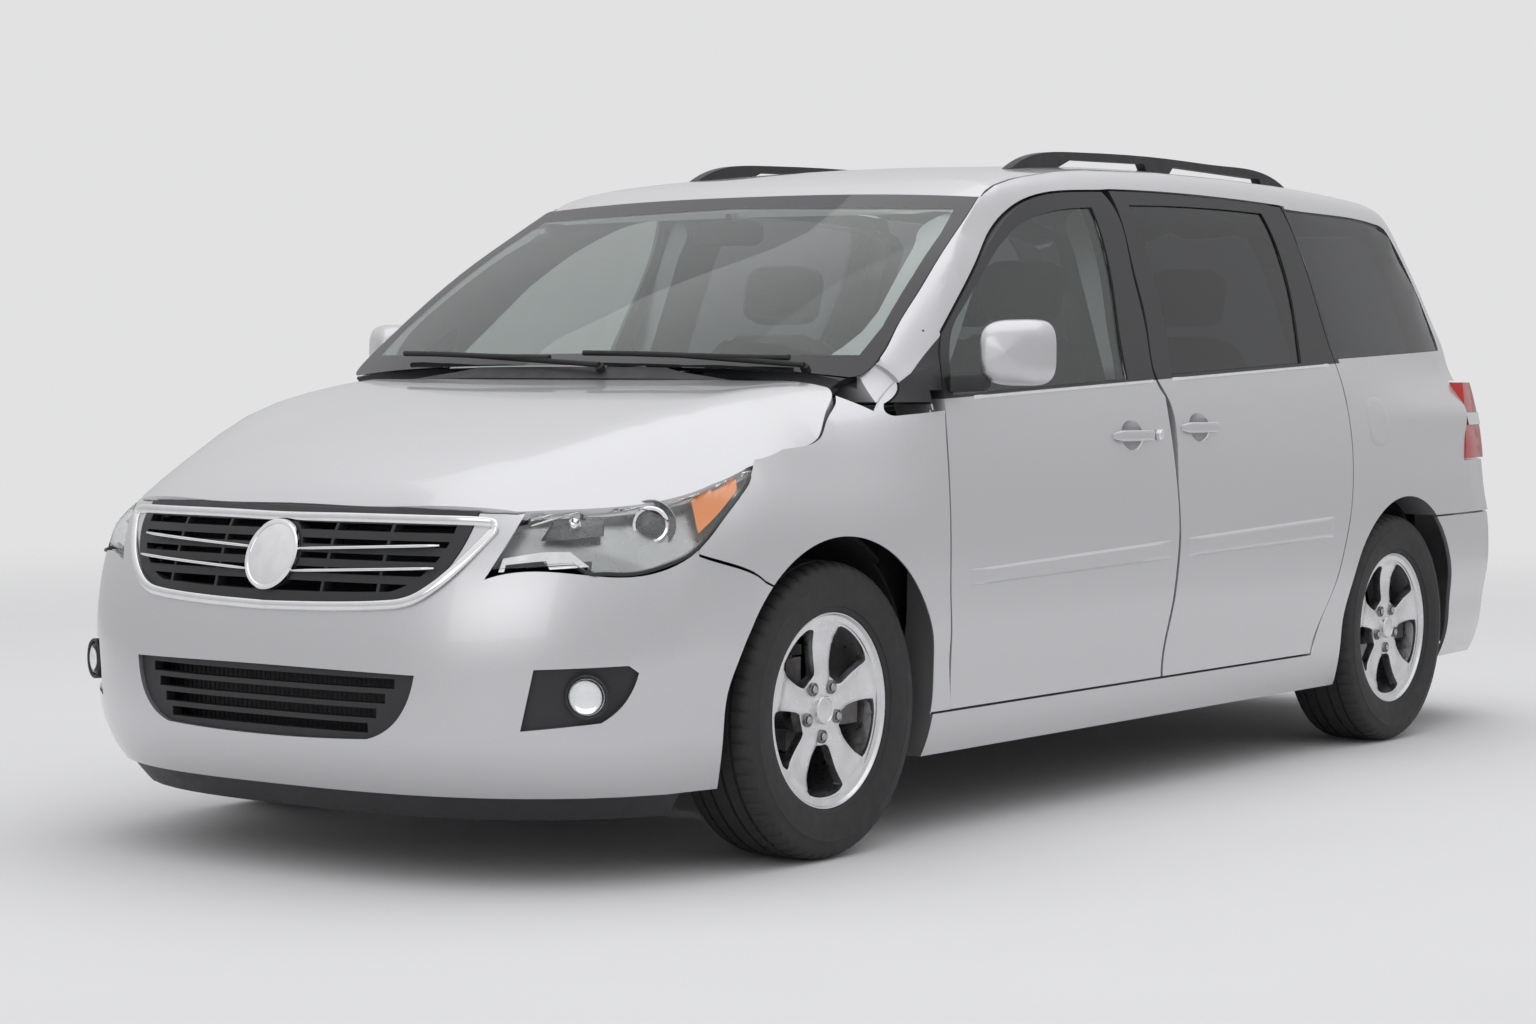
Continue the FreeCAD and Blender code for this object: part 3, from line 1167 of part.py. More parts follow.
def wheel(name, side, y):
    """Wheel as a turned body: barrel, dish, hub and brake disc; windows and bolt holes are cut through it."""
    body = doc.addObject("PartDesign::Body", name)
    bore, disc = measure(0.5, "hub_bore", FIT), measure(1, "disc_radius")
    outline = [(plain(4), bore), (plain(4), plain(72)), (plain(10), plain(72)), (plain(10), disc),
               (plain(32), disc), (plain(32), plain(72)), (plain(54), plain(72)), (plain(58), rim(-36)),
               (plain(48), rim(-23)), (deep(-.5, 0), rim(-23)), (deep(-.5, 0), rim(5)), (deep(-.5, 8), rim(5)),
               (deep(-.5, 8), rim(0)), (deep(-.5, 30), rim(0)), (deep(-.5, 40), rim(-12)), (deep(.5, -44), rim(-12)),
               (deep(.5, -34), rim(0)), (deep(.5, -14), rim(0)), (deep(.5, -14), rim(5)), (deep(.5, -6), rim(5)),
               (deep(.5, -8), rim(-12)), (plain(86), rim(-26)), (plain(74), plain(84)), (plain(74), plain(40)),
               (plain(88), plain(34)), (plain(88), plain(.5)), (plain(58), plain(.5)), (plain(58), bore)]
    profile = bound_sketch(body, name + "_profile", "XZ_Plane", [outline])
    turn = body.newObject("PartDesign::Revolution", name + "_turned")
    turn.Profile = profile
    turn.ReferenceAxis = (profile, ["H_Axis"])
    turn.Angle = 360
    bolts = body.newObject("Sketcher::SketchObject", name + "_bolts")
    bolts.AttachmentSupport = ([f for f in body.Origin.OriginFeatures if f.Role == "YZ_Plane"][0], [""])
    bolts.MapMode = "FlatFace"
    bolts.AttachmentOffset = FreeCAD.Placement(Vector(0, 0, 36), FreeCAD.Rotation())
    for i in range(5):
        angle = -pi / 2 + i * 2 * pi / 5
        circle = bolts.addGeometry(Part.Circle(Vector(63 * cos(angle), 63 * sin(angle), 0), Vector(0, 0, 1), 11))
        for kind, share in (("DistanceX", cos(angle)), ("DistanceY", sin(angle))):
            value, expression = measure(round(share, 6), "stud_circle")
            where = bolts.addConstraint(Sketcher.Constraint(kind, -1, 1, circle, 3, value))
            bolts.setExpression("Constraints[%d]" % where, expression)
        bolts.addConstraint(Sketcher.Constraint("Radius", circle, 11))
    holes = body.newObject("PartDesign::Pocket", name + "_bolt_holes")
    holes.Profile = bolts
    holes.Length = 120
    holes.Reversed = True
    corners = [(-84, 1, -50), (-58, 1, -37), (0, 1, -31), (58, 1, -37), (84, 1, -50), (34, 0, 100), (0, 0, 90),
               (-34, 0, 100)]
    windows = bound_sketch(body, name + "_windows", "YZ_Plane",
                           [[turned_corner((i + 0.5) * 2 * pi / 5, *corner) for corner in corners] for i in range(5)])
    windows.AttachmentOffset = bolts.AttachmentOffset
    openings = body.newObject("PartDesign::Pocket", name + "_openings")
    openings.Profile = windows
    openings.Length = 120
    openings.Reversed = True
    body.Placement = FreeCAD.Placement(Vector(), FreeCAD.Rotation(Vector(0, 0, 1), 0 if side > 0 else 180))
    body.setExpression("Placement.Base.x", "%d * %strack_half" % (side, D))
    body.setExpression("Placement.Base.y", y)
    body.setExpression("Placement.Base.z", AXLE)
    body.Label = name
    doc.recompute()
    nodes.append(body)


def carrier(name, side, y, inner):
    """Bearing carrier and stub axle, shared by the front knuckles and the rear axle."""
    near = "%d * %strack_half - %d" % (side, D, inner if side > 0 else 4)
    if side < 0:
        near = "-%strack_half + 4" % D
    pin = "%d * %strack_half - %d" % (side, D, 20 if side > 0 else 50)
    hub = part_object("Part::Cylinder", name + "_carrier", Radius=58, Height=inner - 4, along="x", at=(near, y, AXLE))
    axle = part_object("Part::Cylinder", name + "_stub", Radius=D + "hub_bore / 2", Height=70, along="x",
                       at=(pin, y, AXLE))
    return [hub, axle]


def caliper(name, side, y):
    """Caliper over the rear edge of the brake disc, with its bracket; the slot is 6 mm clear of the disc."""
    low = "%d * %strack_half %s %d" % (side, D, "-" if side > 0 else "-", 30 if side > 0 else 46)
    block = part_object("Part::Box", name + "_caliper", Length=76, Width=84, Height=92,
                        at=(low, y + " + 98", AXLE + " - 46"))
    bridge = part_object("Part::Box", name + "_bracket", Length=26, Width=120, Height=50,
                         at=("%d * %strack_half %s" % (side, D, "- 30" if side > 0 else "+ 4"), y, AXLE + " - 25"))
    slot_at = "%d * %strack_half %s" % (side, D, "+ 4" if side > 0 else "- 38")
    slot = part_object("Part::Cylinder", name + "_slot", Radius=D + "disc_radius + 7", Height=34, along="x",
                       at=(slot_at, y, AXLE))
    reach = part_object("Part::Cylinder", name + "_room", Radius=78, Height=60, along="x",
                        at=("%d * %strack_half %s" % (side, D, "+ 3.5" if side > 0 else "- 63.5"), y, AXLE))
    return [block, bridge], [slot, reach]


def knuckle(name, side):
    pieces = carrier(name, side, FRONT, 62)
    clasp, cut = caliper(name, side, FRONT)
    x = "%d * %s" % (side, KINGPIN)
    post = part_object("Part::Box", name + "_post", Length=36, Width=60, Height=220,
                       at=(x + " - 18", FRONT + " - 30", AXLE + " - 100"))
    pin = part_object("Part::Cylinder", name + "_pins", Radius=12, Height=300, along="z",
                      at=(x, FRONT, AXLE + " - 145"))
    steer_arm = part_object("Part::Box", name + "_steering_arm", Length=24, Width=130, Height=30,
                            at=(x + " - 12", FRONT + " + 20", AXLE + " - 95"))
    merged(name, pieces[:1] + clasp + [post, pin, steer_arm], cut)
    whole = nodes.pop()
    joined_up = doc.addObject("Part::Fuse", name + "_whole")
    joined_up.Base, joined_up.Tool = whole, pieces[1]
    joined_up.Refine = True
    whole.Label = name + "_forging"
    joined_up.Label = name
    doc.recompute()
    nodes.append(joined_up)


def rear_axle():
    """Twist beam with trailing arms, stub axles and upright dampers."""
    beam = part_object("Part::Box", "twist_beam", Length="2 * (%strack_half - 150)" % D, Width=80, Height=50,
                       at=("-(%strack_half - 150)" % D, REAR + " - 290", "238"))
    pieces, cuts, stubs = [beam], [], []
    for side, word in ((1, "left"), (-1, "right")):
        x = "%d * (%strack_half - 165)" % (side, D)
        arm = part_object("Part::Box", "trailing_arm_" + word, Length=50, Width=560, Height=50,
                          at=(x + " - 25", REAR + " - 500", "238"))
        rise = part_object("Part::Box", "arm_upright_" + word, Length=50, Width=110, Height=200,
                           at=(x + " - 25", REAR + " - 50", "238"))
        damper = part_object("Part::Cylinder", "damper_" + word, Radius=26, Height=462, along="z",
                             at=(x, REAR + " + 40", "300"))
        bush = part_object("Part::Box", "bush_" + word, Length=60, Width=60, Height=62,
                           at=(x + " - 30", REAR + " - 500", "238"))
        hub = carrier("rear_%s" % word, side, REAR, 190)
        clasp, cut = caliper("rear_%s" % word, side, REAR)
        pieces += [arm, rise, damper, bush, hub[0]] + clasp
        stubs.append(hub[1])
        cuts += cut
    merged("rear_axle_body", pieces, cuts)
    whole = nodes.pop()
    joined_up = doc.addObject("Part::MultiFuse", "rear_axle")
    joined_up.Shapes = [whole] + stubs
    joined_up.Refine = True
    joined_up.Label = "rear_axle"
    doc.recompute()
    nodes.append(joined_up)


def front_subframe():
    """Cross members under the engine, lower and upper arms with the bores of the steering pins, and struts."""
    pieces, cuts = [], []
    cross = part_object("Part::Box", "cross_member", Length=960, Width=420, Height=50,
                        at=("-480", FRONT + " - 60", "232"))
    pieces.append(cross)
    for side, word in ((1, "left"), (-1, "right")):
        x = "%d * %s" % (side, KINGPIN)
        inner = "(%d * 470)" % side
        start = inner if side > 0 else "(" + x + " - 26)"
        length = KINGPIN + " - 470 + 26"
        low = part_object("Part::Box", "lower_arm_" + word, Length=length, Width=52, Height=24,
                          at=(start, FRONT + " - 26", AXLE + " - 132"))
        top_start = "%d * (%s - 170)" % (side, KINGPIN) if side > 0 else "(" + x + " - 26)"
        top = part_object("Part::Box", "upper_arm_" + word, Length="170 + 26", Width=44, Height=24,
                          at=(top_start, FRONT + " - 22", AXLE + " + 127"))
        strut = part_object("Part::Cylinder", "strut_" + word, Radius=24, Height=300, along="z",
                            at=("%d * (%s - 170)" % (side, KINGPIN), FRONT, AXLE + " + 120"))
        low_strut = part_object("Part::Cylinder", "strut_leg_" + word, Radius=22, Height=270, along="z",
                                at=("%d * (%s - 170)" % (side, KINGPIN), FRONT, AXLE + " - 132"))
        rail_post = part_object("Part::Box", "post_" + word, Length=60, Width=60, Height=139.7,
                                at=("%d * 435 - 30" % side, FRONT + " + 60", "260"))
        bore = part_object("Part::Cylinder", "pin_bore_" + word, Radius=12 + FIT, Height=340, along="z",
                           at=(x, FRONT, AXLE + " - 165"))
        pieces += [low, top, strut, low_strut, rail_post]
        cuts.append(bore)
    merged("front_subframe", pieces, cuts)


def exhaust():
    """Pipe, silencer and hangers; it runs under the twist beam."""
    pipe = part_object("Part::Cylinder", "exhaust_pipe", Radius=26, Height="%swheelbase + 620" % D, along="y",
                       at=("250", FRONT + " + 380", "196"))
    silencer = part_object("Part::Box", "silencer", Length=420, Width=220, Height=120,
                           at=("160", REAR + " + 480", "168"))
    hangers = [part_object("Part::Box", "hanger_%d" % i, Length=20, Width=20, Height=83.7,
                           at=("240", FRONT + " + %d" % y, "216")) for i, y in enumerate((600, 1500, 2400))]
    hangers.append(part_object("Part::Box", "hanger_3", Length=20, Width=20, Height=37.7,
                               at=("360", REAR + " + 560", "262")))
    merged("exhaust", [pipe, silencer] + hangers)


def engine():
    block = part_object("Part::Box", "engine_block", Length=720, Width=480, Height=480,
                        at=("-360", FRONT + " - 440", "430"))
    feet = [part_object("Part::Box", "engine_foot_%d" % i, Length=60, Width=60, Height=200,
                        at=("%d" % (x - 30), FRONT + " - 50", "282.3")) for i, x in enumerate((-250, 250))]
    merged("engine", [block] + feet)


def steering_wheel():
    """Rim, spokes and column in one piece, leaning back towards the driver."""
    tilt = FreeCAD.Rotation(Vector(1, 0, 0), 65)
    ring_part = doc.addObject("Part::Torus", "hand_wheel_rim")
    ring_part.Radius1, ring_part.Radius2 = 185, 15
    bar = doc.addObject("Part::Box", "hand_wheel_spoke")
    bar.Length, bar.Width, bar.Height = 350, 44, 20
    bar.Placement.Base = Vector(-175, -22, -14)
    low_bar = doc.addObject("Part::Box", "hand_wheel_low_spoke")
    low_bar.Length, low_bar.Width, low_bar.Height = 50, 175, 20
    low_bar.Placement.Base = Vector(-25, -178, -14)
    boss = doc.addObject("Part::Cylinder", "hand_wheel_boss")
    boss.Radius, boss.Height = 62, 60
    boss.Placement.Base = Vector(0, 0, -50)
    shaft = doc.addObject("Part::Cylinder", "hand_wheel_shaft")
    shaft.Radius, shaft.Height = 22, 150
    shaft.Placement.Base = Vector(0, 0, -190)
    body = doc.addObject("Part::MultiFuse", "steering_wheel")
    body.Shapes = [ring_part, bar, low_bar, boss, shaft]
    body.Refine = True
    body.Placement = FreeCAD.Placement(place(400, -730, 940), tilt)
    doc.recompute()
    nodes.append(body)


keep_pair("front_door", front_door())
keep_pair("sliding_door", sliding_door())
keep_pair("body_side", body_side())
keep_pair("fender", fender())
roof_panel = roof()
keep("roof_panel", roof_panel)
keep("hood", hood())
keep("front_bumper", front_bumper())
keep("upper_grille", upper_grille())
keep("lower_grille", lower_grille())
keep("air_dam", air_dam())
keep("headlamps", both_sides(headlamp()))
keep("fog_lamps", both_sides(fog_lamp()))
keep("windshield", windshield())
cowl_panel = cowl()
keep("cowl", cowl_panel)
keep("wipers", Part.makeCompound([wiper(-640, -60, 120), wiper(40, 650, 700)]))
keep("liftgate", liftgate())
keep("liftgate_window", liftgate_window())
keep("rear_bumper", rear_bumper())
keep("tail_lamps", both_sides(tail_lamp()))
keep_pair("front_door_window", pane(FRONT_GLASS, -1140, -50))
rear_panes = [pane(SLIDE_GLASS, 20, 980), quarter_pane()]
keep("rear_side_windows", Part.makeCompound(rear_panes + [mirrored(p) for p in rear_panes]))
keep_pair("mirror", mirror())
keep("roof_rails", both_sides(roof_rail()))
keep("underbody", underbody())
keep("dashboard", dashboard())
keep("front_seats", both_sides(seat(170, 670, -640, floor_top, 1270)))
keep("second_row_seats", both_sides(seat(170, 670, 330, floor_top, 1270)))
keep("third_row_bench", bench(-545, 545, 1330, floor_top, 1050))
engine()
front_subframe()
rear_axle()
exhaust()
steering_wheel()
for side, word in ((1, "left"), (-1, "right")):
    knuckle("knuckle_" + word, side)
    wheel("wheel_front_" + word, side, FRONT)
    wheel("wheel_rear_" + word, side, REAR)
    tyre("tyre_front_" + word, side, y_front)
    tyre("tyre_rear_" + word, side, y_rear)

for item in doc.Objects:
    if "Invalid" in item.State or "Error" in item.State:
        raise ValueError(item.Label + " is in error")
for piece in nodes:
    if piece.Shape.isNull() or not piece.Shape.isValid():
        raise ValueError(piece.Label + " is not sound")
os.makedirs("parts", exist_ok=True)
for piece in nodes:
    piece.Shape.exportStep("parts/" + piece.Label + ".step")
print(len(nodes), "pieces written")
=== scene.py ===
import math

import bmesh
import bpy
from mathutils import Matrix, Vector
from mathutils.bvhtree import BVHTree


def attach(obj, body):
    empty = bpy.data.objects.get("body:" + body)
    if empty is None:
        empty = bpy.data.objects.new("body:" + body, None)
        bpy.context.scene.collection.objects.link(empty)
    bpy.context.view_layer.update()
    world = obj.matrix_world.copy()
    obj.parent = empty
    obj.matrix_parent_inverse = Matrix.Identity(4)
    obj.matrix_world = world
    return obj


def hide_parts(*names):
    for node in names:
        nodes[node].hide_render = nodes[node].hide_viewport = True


# A silver minivan on a pale studio floor. Lengths are in metres.
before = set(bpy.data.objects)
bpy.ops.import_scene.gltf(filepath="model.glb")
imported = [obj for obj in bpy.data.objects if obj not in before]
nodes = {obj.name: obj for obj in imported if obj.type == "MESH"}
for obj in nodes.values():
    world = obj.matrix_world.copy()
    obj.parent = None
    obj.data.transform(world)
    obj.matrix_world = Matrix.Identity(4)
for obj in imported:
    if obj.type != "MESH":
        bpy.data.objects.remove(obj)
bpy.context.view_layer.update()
SIDES = (("left", 1), ("right", -1))
WELD = 0.00002  # points nearer than this are one
UP = Vector((0, 0, 1))
FAR, BESIDE = 4.0, 1.4  # where the lines that look for a skin start, from an end and from the side

# Colours, as linear light
SILVER = (0.62, 0.62, 0.635)
TRIM = (0.022, 0.022, 0.024)
RUBBER = (0.016, 0.016, 0.017)
CHARCOAL = (0.035, 0.037, 0.038)
PAINT_METAL, PAINT_COAT = 0.82, 0.9


def node(tree, kind, **settings):
    """New node; a setting is one of its inputs or one of its own values."""
    made = tree.nodes.new(kind)
    for key, value in settings.items():
        slot = key.replace("_", " ")
        if slot in made.inputs:
            made.inputs[slot].default_value = value
        else:
            setattr(made, key, value)
    return made


def math_node(tree, operation, first, second=0.0):
    """Output of a sum; the values may be numbers or sockets."""
    made = tree.nodes.new("ShaderNodeMath")
    made.operation = operation
    for slot, value in zip(made.inputs, (first, second)):
        if isinstance(value, (int, float)):
            slot.default_value = value
        else:
            tree.links.new(value, slot)
    return made.outputs[0]


def coordinates(tree):
    return tree.nodes.new("ShaderNodeTexCoord").outputs["Object"]


def noise(tree, scale, detail=2.0):
    made = node(tree, "ShaderNodeTexNoise", Scale=scale, Detail=detail)
    tree.links.new(coordinates(tree), made.inputs["Vector"])
    return made.outputs["Fac"]


def between(tree, source, low, high):
    """A pattern of 0.3 to 0.7 brought to the range of a finish."""
    made = node(tree, "ShaderNodeMapRange", From_Min=0.3, From_Max=0.7, To_Min=low, To_Max=high)
    tree.links.new(source, made.inputs["Value"])
    return made.outputs["Result"]


def mixed(tree, share, first, second):
    """Value or colour that goes from the first to the second as the share goes from 0 to 1."""
    colour = not isinstance(first, (int, float)) and hasattr(first, "__len__")
    made = tree.nodes.new("ShaderNodeMix")
    made.data_type = "RGBA" if colour else "FLOAT"
    pair = (6, 7) if colour else (2, 3)
    for slot, value in zip(pair, (first, second)):
        if isinstance(value, (int, float)):
            made.inputs[slot].default_value = value
        elif colour:
            made.inputs[slot].default_value = (*value, 1)
        else:
            tree.links.new(value, made.inputs[slot])
    tree.links.new(share, made.inputs[0])
    return made.outputs[2 if colour else 0]


def plain(name, colour, **settings):
    """Material with one shader and a colour; returns it with its tree and shader."""
    material = bpy.data.materials.new(name)
    material.use_nodes = True
    tree = material.node_tree
    shader = next(n for n in tree.nodes if n.type == "BSDF_PRINCIPLED")
    shader.inputs["Base Color"].default_value = (*colour, 1)
    for key, value in settings.items():
        shader.inputs[key.replace("_", " ")].default_value = value
    return material, tree, shader


def bumped(tree, shader, height, strength, distance):
    made = node(tree, "ShaderNodeBump", Strength=strength, Distance=distance)
    tree.links.new(height, made.inputs["Height"])
    tree.links.new(made.outputs["Normal"], shader.inputs["Normal"])


def tinted(tree, shader, colour, spread, scale):
    """Slight unevenness of a colour."""
    share = between(tree, noise(tree, scale), 0.0, 1.0)
    low = tuple(c * (1 - spread) for c in colour)
    high = tuple(min(1.0, c * (1 + spread)) for c in colour)
    tree.links.new(mixed(tree, share, low, high), shader.inputs["Base Color"])


def region(tree, plane, corners):
    """1 inside a convex outline drawn on the side (y, z) or the front (x, z) of the car, 0 outside it.
    The corners go round anticlockwise. On the front the outline holds for both sides of the car."""
    split = tree.nodes.new("ShaderNodeSeparateXYZ")
    tree.links.new(coordinates(tree), split.inputs[0])
    a = split.outputs["Y"] if plane == "side" else math_node(tree, "ABSOLUTE", split.outputs["X"])
    b = split.outputs["Z"]
    inside = None
    for (a0, b0), (a1, b1) in zip(corners, corners[1:] + corners[:1]):
        one = math_node(tree, "MULTIPLY", b, a1 - a0)
        other = math_node(tree, "MULTIPLY", a, b1 - b0)
        apart = math_node(tree, "SUBTRACT", one, other)
        edge = math_node(tree, "GREATER_THAN", apart, b0 * (a1 - a0) - a0 * (b1 - b0))
        inside = edge if inside is None else math_node(tree, "MULTIPLY", inside, edge)
    return inside


def either(tree, shares):
    whole = shares[0]
    for share in shares[1:]:
        whole = math_node(tree, "MAXIMUM", whole, share)
    return whole


def body_paint(name, trim_areas=()):
    """Silver metallic paint under clear coat; the trim areas are matt black."""
    material, tree, shader = plain(name, SILVER, Metallic=PAINT_METAL, Roughness=0.34,
                                   Coat_Weight=PAINT_COAT, Coat_Roughness=0.04, Coat_IOR=1.5)
    rough = between(tree, noise(tree, 900, 1), 0.31, 0.38)
    if not trim_areas:
        tinted(tree, shader, SILVER, 0.03, 650)
        tree.links.new(rough, shader.inputs["Roughness"])
        return material
    share = either(tree, [region(tree, "side", corners) for corners in trim_areas])
    for socket, painted, black in (("Base Color", SILVER, TRIM), ("Metallic", PAINT_METAL, 0.0),
                                   ("Coat Weight", PAINT_COAT, 0.0), ("Roughness", rough, 0.42)):
        tree.links.new(mixed(tree, share, painted, black), shader.inputs[socket])
    return material


def moulded(name, colour, rough=0.5, grain=700, depth=0.0004):
    """Moulded plastic or rubber with a fine grain."""
    material, tree, shader = plain(name, colour, Roughness=rough)
    tinted(tree, shader, colour, 0.10, 9)
    tree.links.new(between(tree, noise(tree, 30), rough - 0.05, rough + 0.06), shader.inputs["Roughness"])
    bumped(tree, shader, noise(tree, grain), 0.35, depth)
    return material


def bright(name, colour, rough):
    """Plated or cast metal."""
    material, tree, shader = plain(name, colour, Metallic=1.0, Roughness=rough)
    tinted(tree, shader, colour, 0.04, 25)
    tree.links.new(between(tree, noise(tree, 60), rough * 0.8, rough * 1.25), shader.inputs["Roughness"])
    return material


def glazed(name, colour, dark_border=None):
    """Window glass; lamps shine through it. Outside the dark border's outline it is printed black."""
    material, tree, shader = plain(name, colour, Roughness=0.0, IOR=1.45, Transmission_Weight=1.0)
    tinted(tree, shader, colour, 0.02, 3)
    clear = 1.0
    if dark_border:
        clear = region(tree, "front", dark_border)
        tree.links.new(mixed(tree, clear, TRIM, colour), shader.inputs["Base Color"])
        tree.links.new(clear, shader.inputs["Transmission Weight"])
    path = tree.nodes.new("ShaderNodeLightPath")
    through = node(tree, "ShaderNodeBsdfTransparent", Color=(*colour, 1))
    mix = tree.nodes.new("ShaderNodeMixShader")
    tree.links.new(math_node(tree, "MULTIPLY", path.outputs["Is Shadow Ray"], clear), mix.inputs[0])
    tree.links.new(shader.outputs[0], mix.inputs[1])
    tree.links.new(through.outputs[0], mix.inputs[2])
    tree.links.new(mix.outputs[0], tree.nodes["Material Output"].inputs["Surface"])
    return material


def woven(name, colour):
    """Seat cloth: crossed ribs with a soft sheen."""
    material, tree, shader = plain(name, colour, Roughness=0.9, Sheen_Weight=0.25)
    tinted(tree, shader, colour, 0.16, 40)
    split = tree.nodes.new("ShaderNodeSeparateXYZ")
    tree.links.new(coordinates(tree), split.inputs[0])
    waves = [math_node(tree, "SINE", math_node(tree, "MULTIPLY", axis, 2200.0)) for axis in split.outputs]
    ribs = math_node(tree, "ADD", math_node(tree, "MULTIPLY", waves[0], waves[2]), waves[1])
    bumped(tree, shader, ribs, 0.3, 0.0006)
    return material


# Areas of the car's side that are black trim, drawn as (along, height)
BELT_FRONT, BELT_RISE = (-1.127, 1.0905), 0.0417


def belt(y):
    return BELT_FRONT[1] + BELT_RISE * (y - BELT_FRONT[0])


DOOR_FRAME = [(-1.4, belt(-1.4)), (1.6, belt(1.6)), (1.6, 1.9), (-1.4, 1.9)]
SAIL = [(-1.345, 1.0735), (-1.02, 1.0835), (-1.02, 1.281), (-1.268, 1.131)]
REAR_POST = [(1.0, belt(1.0)), (1.12, belt(1.12)), (1.10, 1.40), (1.062, 1.664), (1.0, 1.664)]
SHIELD_CLEAR = [(-0.01, 1.200), (0.800, 1.196), (0.802, 1.267), (0.770, 1.400), (0.735, 1.515), (0.700, 1.585),
                (-0.01, 1.604)]

paint = body_paint("silver_paint")
door_paint = body_paint("silver_paint_with_black_frame", [DOOR_FRAME])
side_paint = body_paint("silver_paint_with_black_post", [SAIL, REAR_POST])
trim = moulded("black_trim", TRIM)
liner = moulded("arch_liner", (0.012, 0.012, 0.013), 0.8, 300, 0.001)
rubber = moulded("black_rubber", RUBBER, 0.62, 500, 0.0005)
tyre_rubber = moulded("tyre_rubber", (0.021, 0.021, 0.022), 0.66, 260, 0.0008)
chrome = bright("plated_trim", (0.86, 0.86, 0.87), 0.12)
alloy = bright("painted_alloy", (0.76, 0.76, 0.77), 0.32)
# Darker copy of the wheel alloy for the recesses round the nuts: painted shade
alloy_shade = bright("alloy_pocket_painted_shade", (0.30, 0.30, 0.305), 0.4)
bright_nut = bright("wheel_nut", (0.45, 0.45, 0.46), 0.3)
iron = bright("cast_iron", (0.16, 0.155, 0.15), 0.5)
black_steel = moulded("black_steel", (0.02, 0.02, 0.021), 0.55, 200, 0.0006)
exhaust_steel = bright("exhaust_steel", (0.34, 0.32, 0.30), 0.45)
front_glass = glazed("shield_glass", (0.56, 0.60, 0.585), SHIELD_CLEAR)
door_glass = glazed("front_door_glass", (0.48, 0.52, 0.505))
dark_glass = glazed("privacy_glass", (0.11, 0.115, 0.12))
lamp_glass = glazed("lamp_lens", (0.96, 0.97, 0.97))
red_glass = moulded("red_lens", (0.42, 0.012, 0.012), 0.12, 90, 0.001)
seat_cloth = woven("seat_cloth", CHARCOAL)
cabin_plastic = moulded("cabin_plastic", (0.05, 0.052, 0.052), 0.6, 500, 0.0006)

NODE_FINISH = {
    "roof_panel": paint, "hood": paint, "front_bumper": paint, "rear_bumper": paint, "liftgate": paint,
    "fender_left": paint, "fender_right": paint, "body_side_left": side_paint, "body_side_right": side_paint,
    "front_door_left": door_paint, "front_door_right": door_paint, "sliding_door_left": door_paint,
    "sliding_door_right": door_paint, "upper_grille": trim, "lower_grille": trim, "air_dam": trim, "cowl": trim,
    "wipers": rubber, "roof_rails": trim, "mirror_left": paint, "mirror_right": paint, "headlamps": lamp_glass,
    "fog_lamps": trim, "tail_lamps": red_glass, "windshield": front_glass, "liftgate_window": dark_glass,
    "rear_side_windows": dark_glass, "front_door_window_left": door_glass,
    "front_door_window_right": door_glass, "underbody": liner, "dashboard": cabin_plastic,
    "front_seats": seat_cloth, "second_row_seats": seat_cloth, "third_row_bench": seat_cloth,
    "engine": black_steel, "front_subframe": black_steel, "rear_axle": black_steel,
    "exhaust": exhaust_steel, "steering_wheel": cabin_plastic, "knuckle_left": iron, "knuckle_right": iron,
}


def smoothing_group(limit):
    """Joins the loose faces of a panel and smooths all edges but the sharp ones."""
    tree = bpy.data.node_groups.new("panel_smoothing", "GeometryNodeTree")
    for way in ("INPUT", "OUTPUT"):
        tree.interface.new_socket("Geometry", in_out=way, socket_type="NodeSocketGeometry")
    start = tree.nodes.new("NodeGroupInput").outputs[0]
    plain_normals = node(tree, "GeometryNodeRemoveAttribute", Name="custom_normal")
    join = node(tree, "GeometryNodeMergeByDistance", Distance=WELD)
    smooth = node(tree, "GeometryNodeSetShadeSmooth")
    sharp = node(tree, "GeometryNodeSetShadeSmooth", domain="EDGE")
    sharp.inputs["Shade Smooth"].default_value = False
    angle = tree.nodes.new("GeometryNodeInputMeshEdgeAngle")
    steep = node(tree, "FunctionNodeCompare", data_type="FLOAT", operation="GREATER_THAN")
    steep.inputs[1].default_value = math.radians(limit)
    tree.links.new(angle.outputs["Unsigned Angle"], steep.inputs[0])
    tree.links.new(steep.outputs[0], sharp.inputs["Selection"])
    for following in (plain_normals, join, smooth, sharp):
        slots = following.inputs
        tree.links.new(start, slots["Geometry"] if "Geometry" in slots else slots[0])
        start = following.outputs[0]
    end = tree.nodes.new("NodeGroupOutput")
    tree.links.new(start, end.inputs[0])
    return tree


SHARP_FROM = 28  # degrees between faces
panel_smoothing = smoothing_group(SHARP_FROM)
for name, part in nodes.items():
    if name.startswith("wheel"):
        finish = alloy
    elif name.startswith("tyre"):
        finish = tyre_rubber
    else:
        finish = NODE_FINISH[name]
    part.data.materials.clear()
    part.data.materials.append(finish)
    part.modifiers.new("smooth", "NODES").node_group = panel_smoothing


# Modelling helpers

def deselect():
    bpy.ops.object.select_all(action="DESELECT")


def surface(*names):
    """The outer skins of some nodes, to lay pieces on."""
    return [BVHTree.FromPolygons([tuple(v.co) for v in nodes[name].data.vertices],
                                 [tuple(p.vertices) for p in nodes[name].data.polygons]) for name in names]


def touch(skins, start, way):
    """Place where a line from the start first meets the skins, or else their nearest place to it."""
    hits = [hit for hit in (skin.ray_cast(start, way) for skin in skins) if hit[0]]
    if hits:
        return min(hits, key=lambda hit: hit[3])[0]
    return min((skin.find_nearest(start + way * 2.0) for skin in skins), key=lambda hit: hit[3])[0]


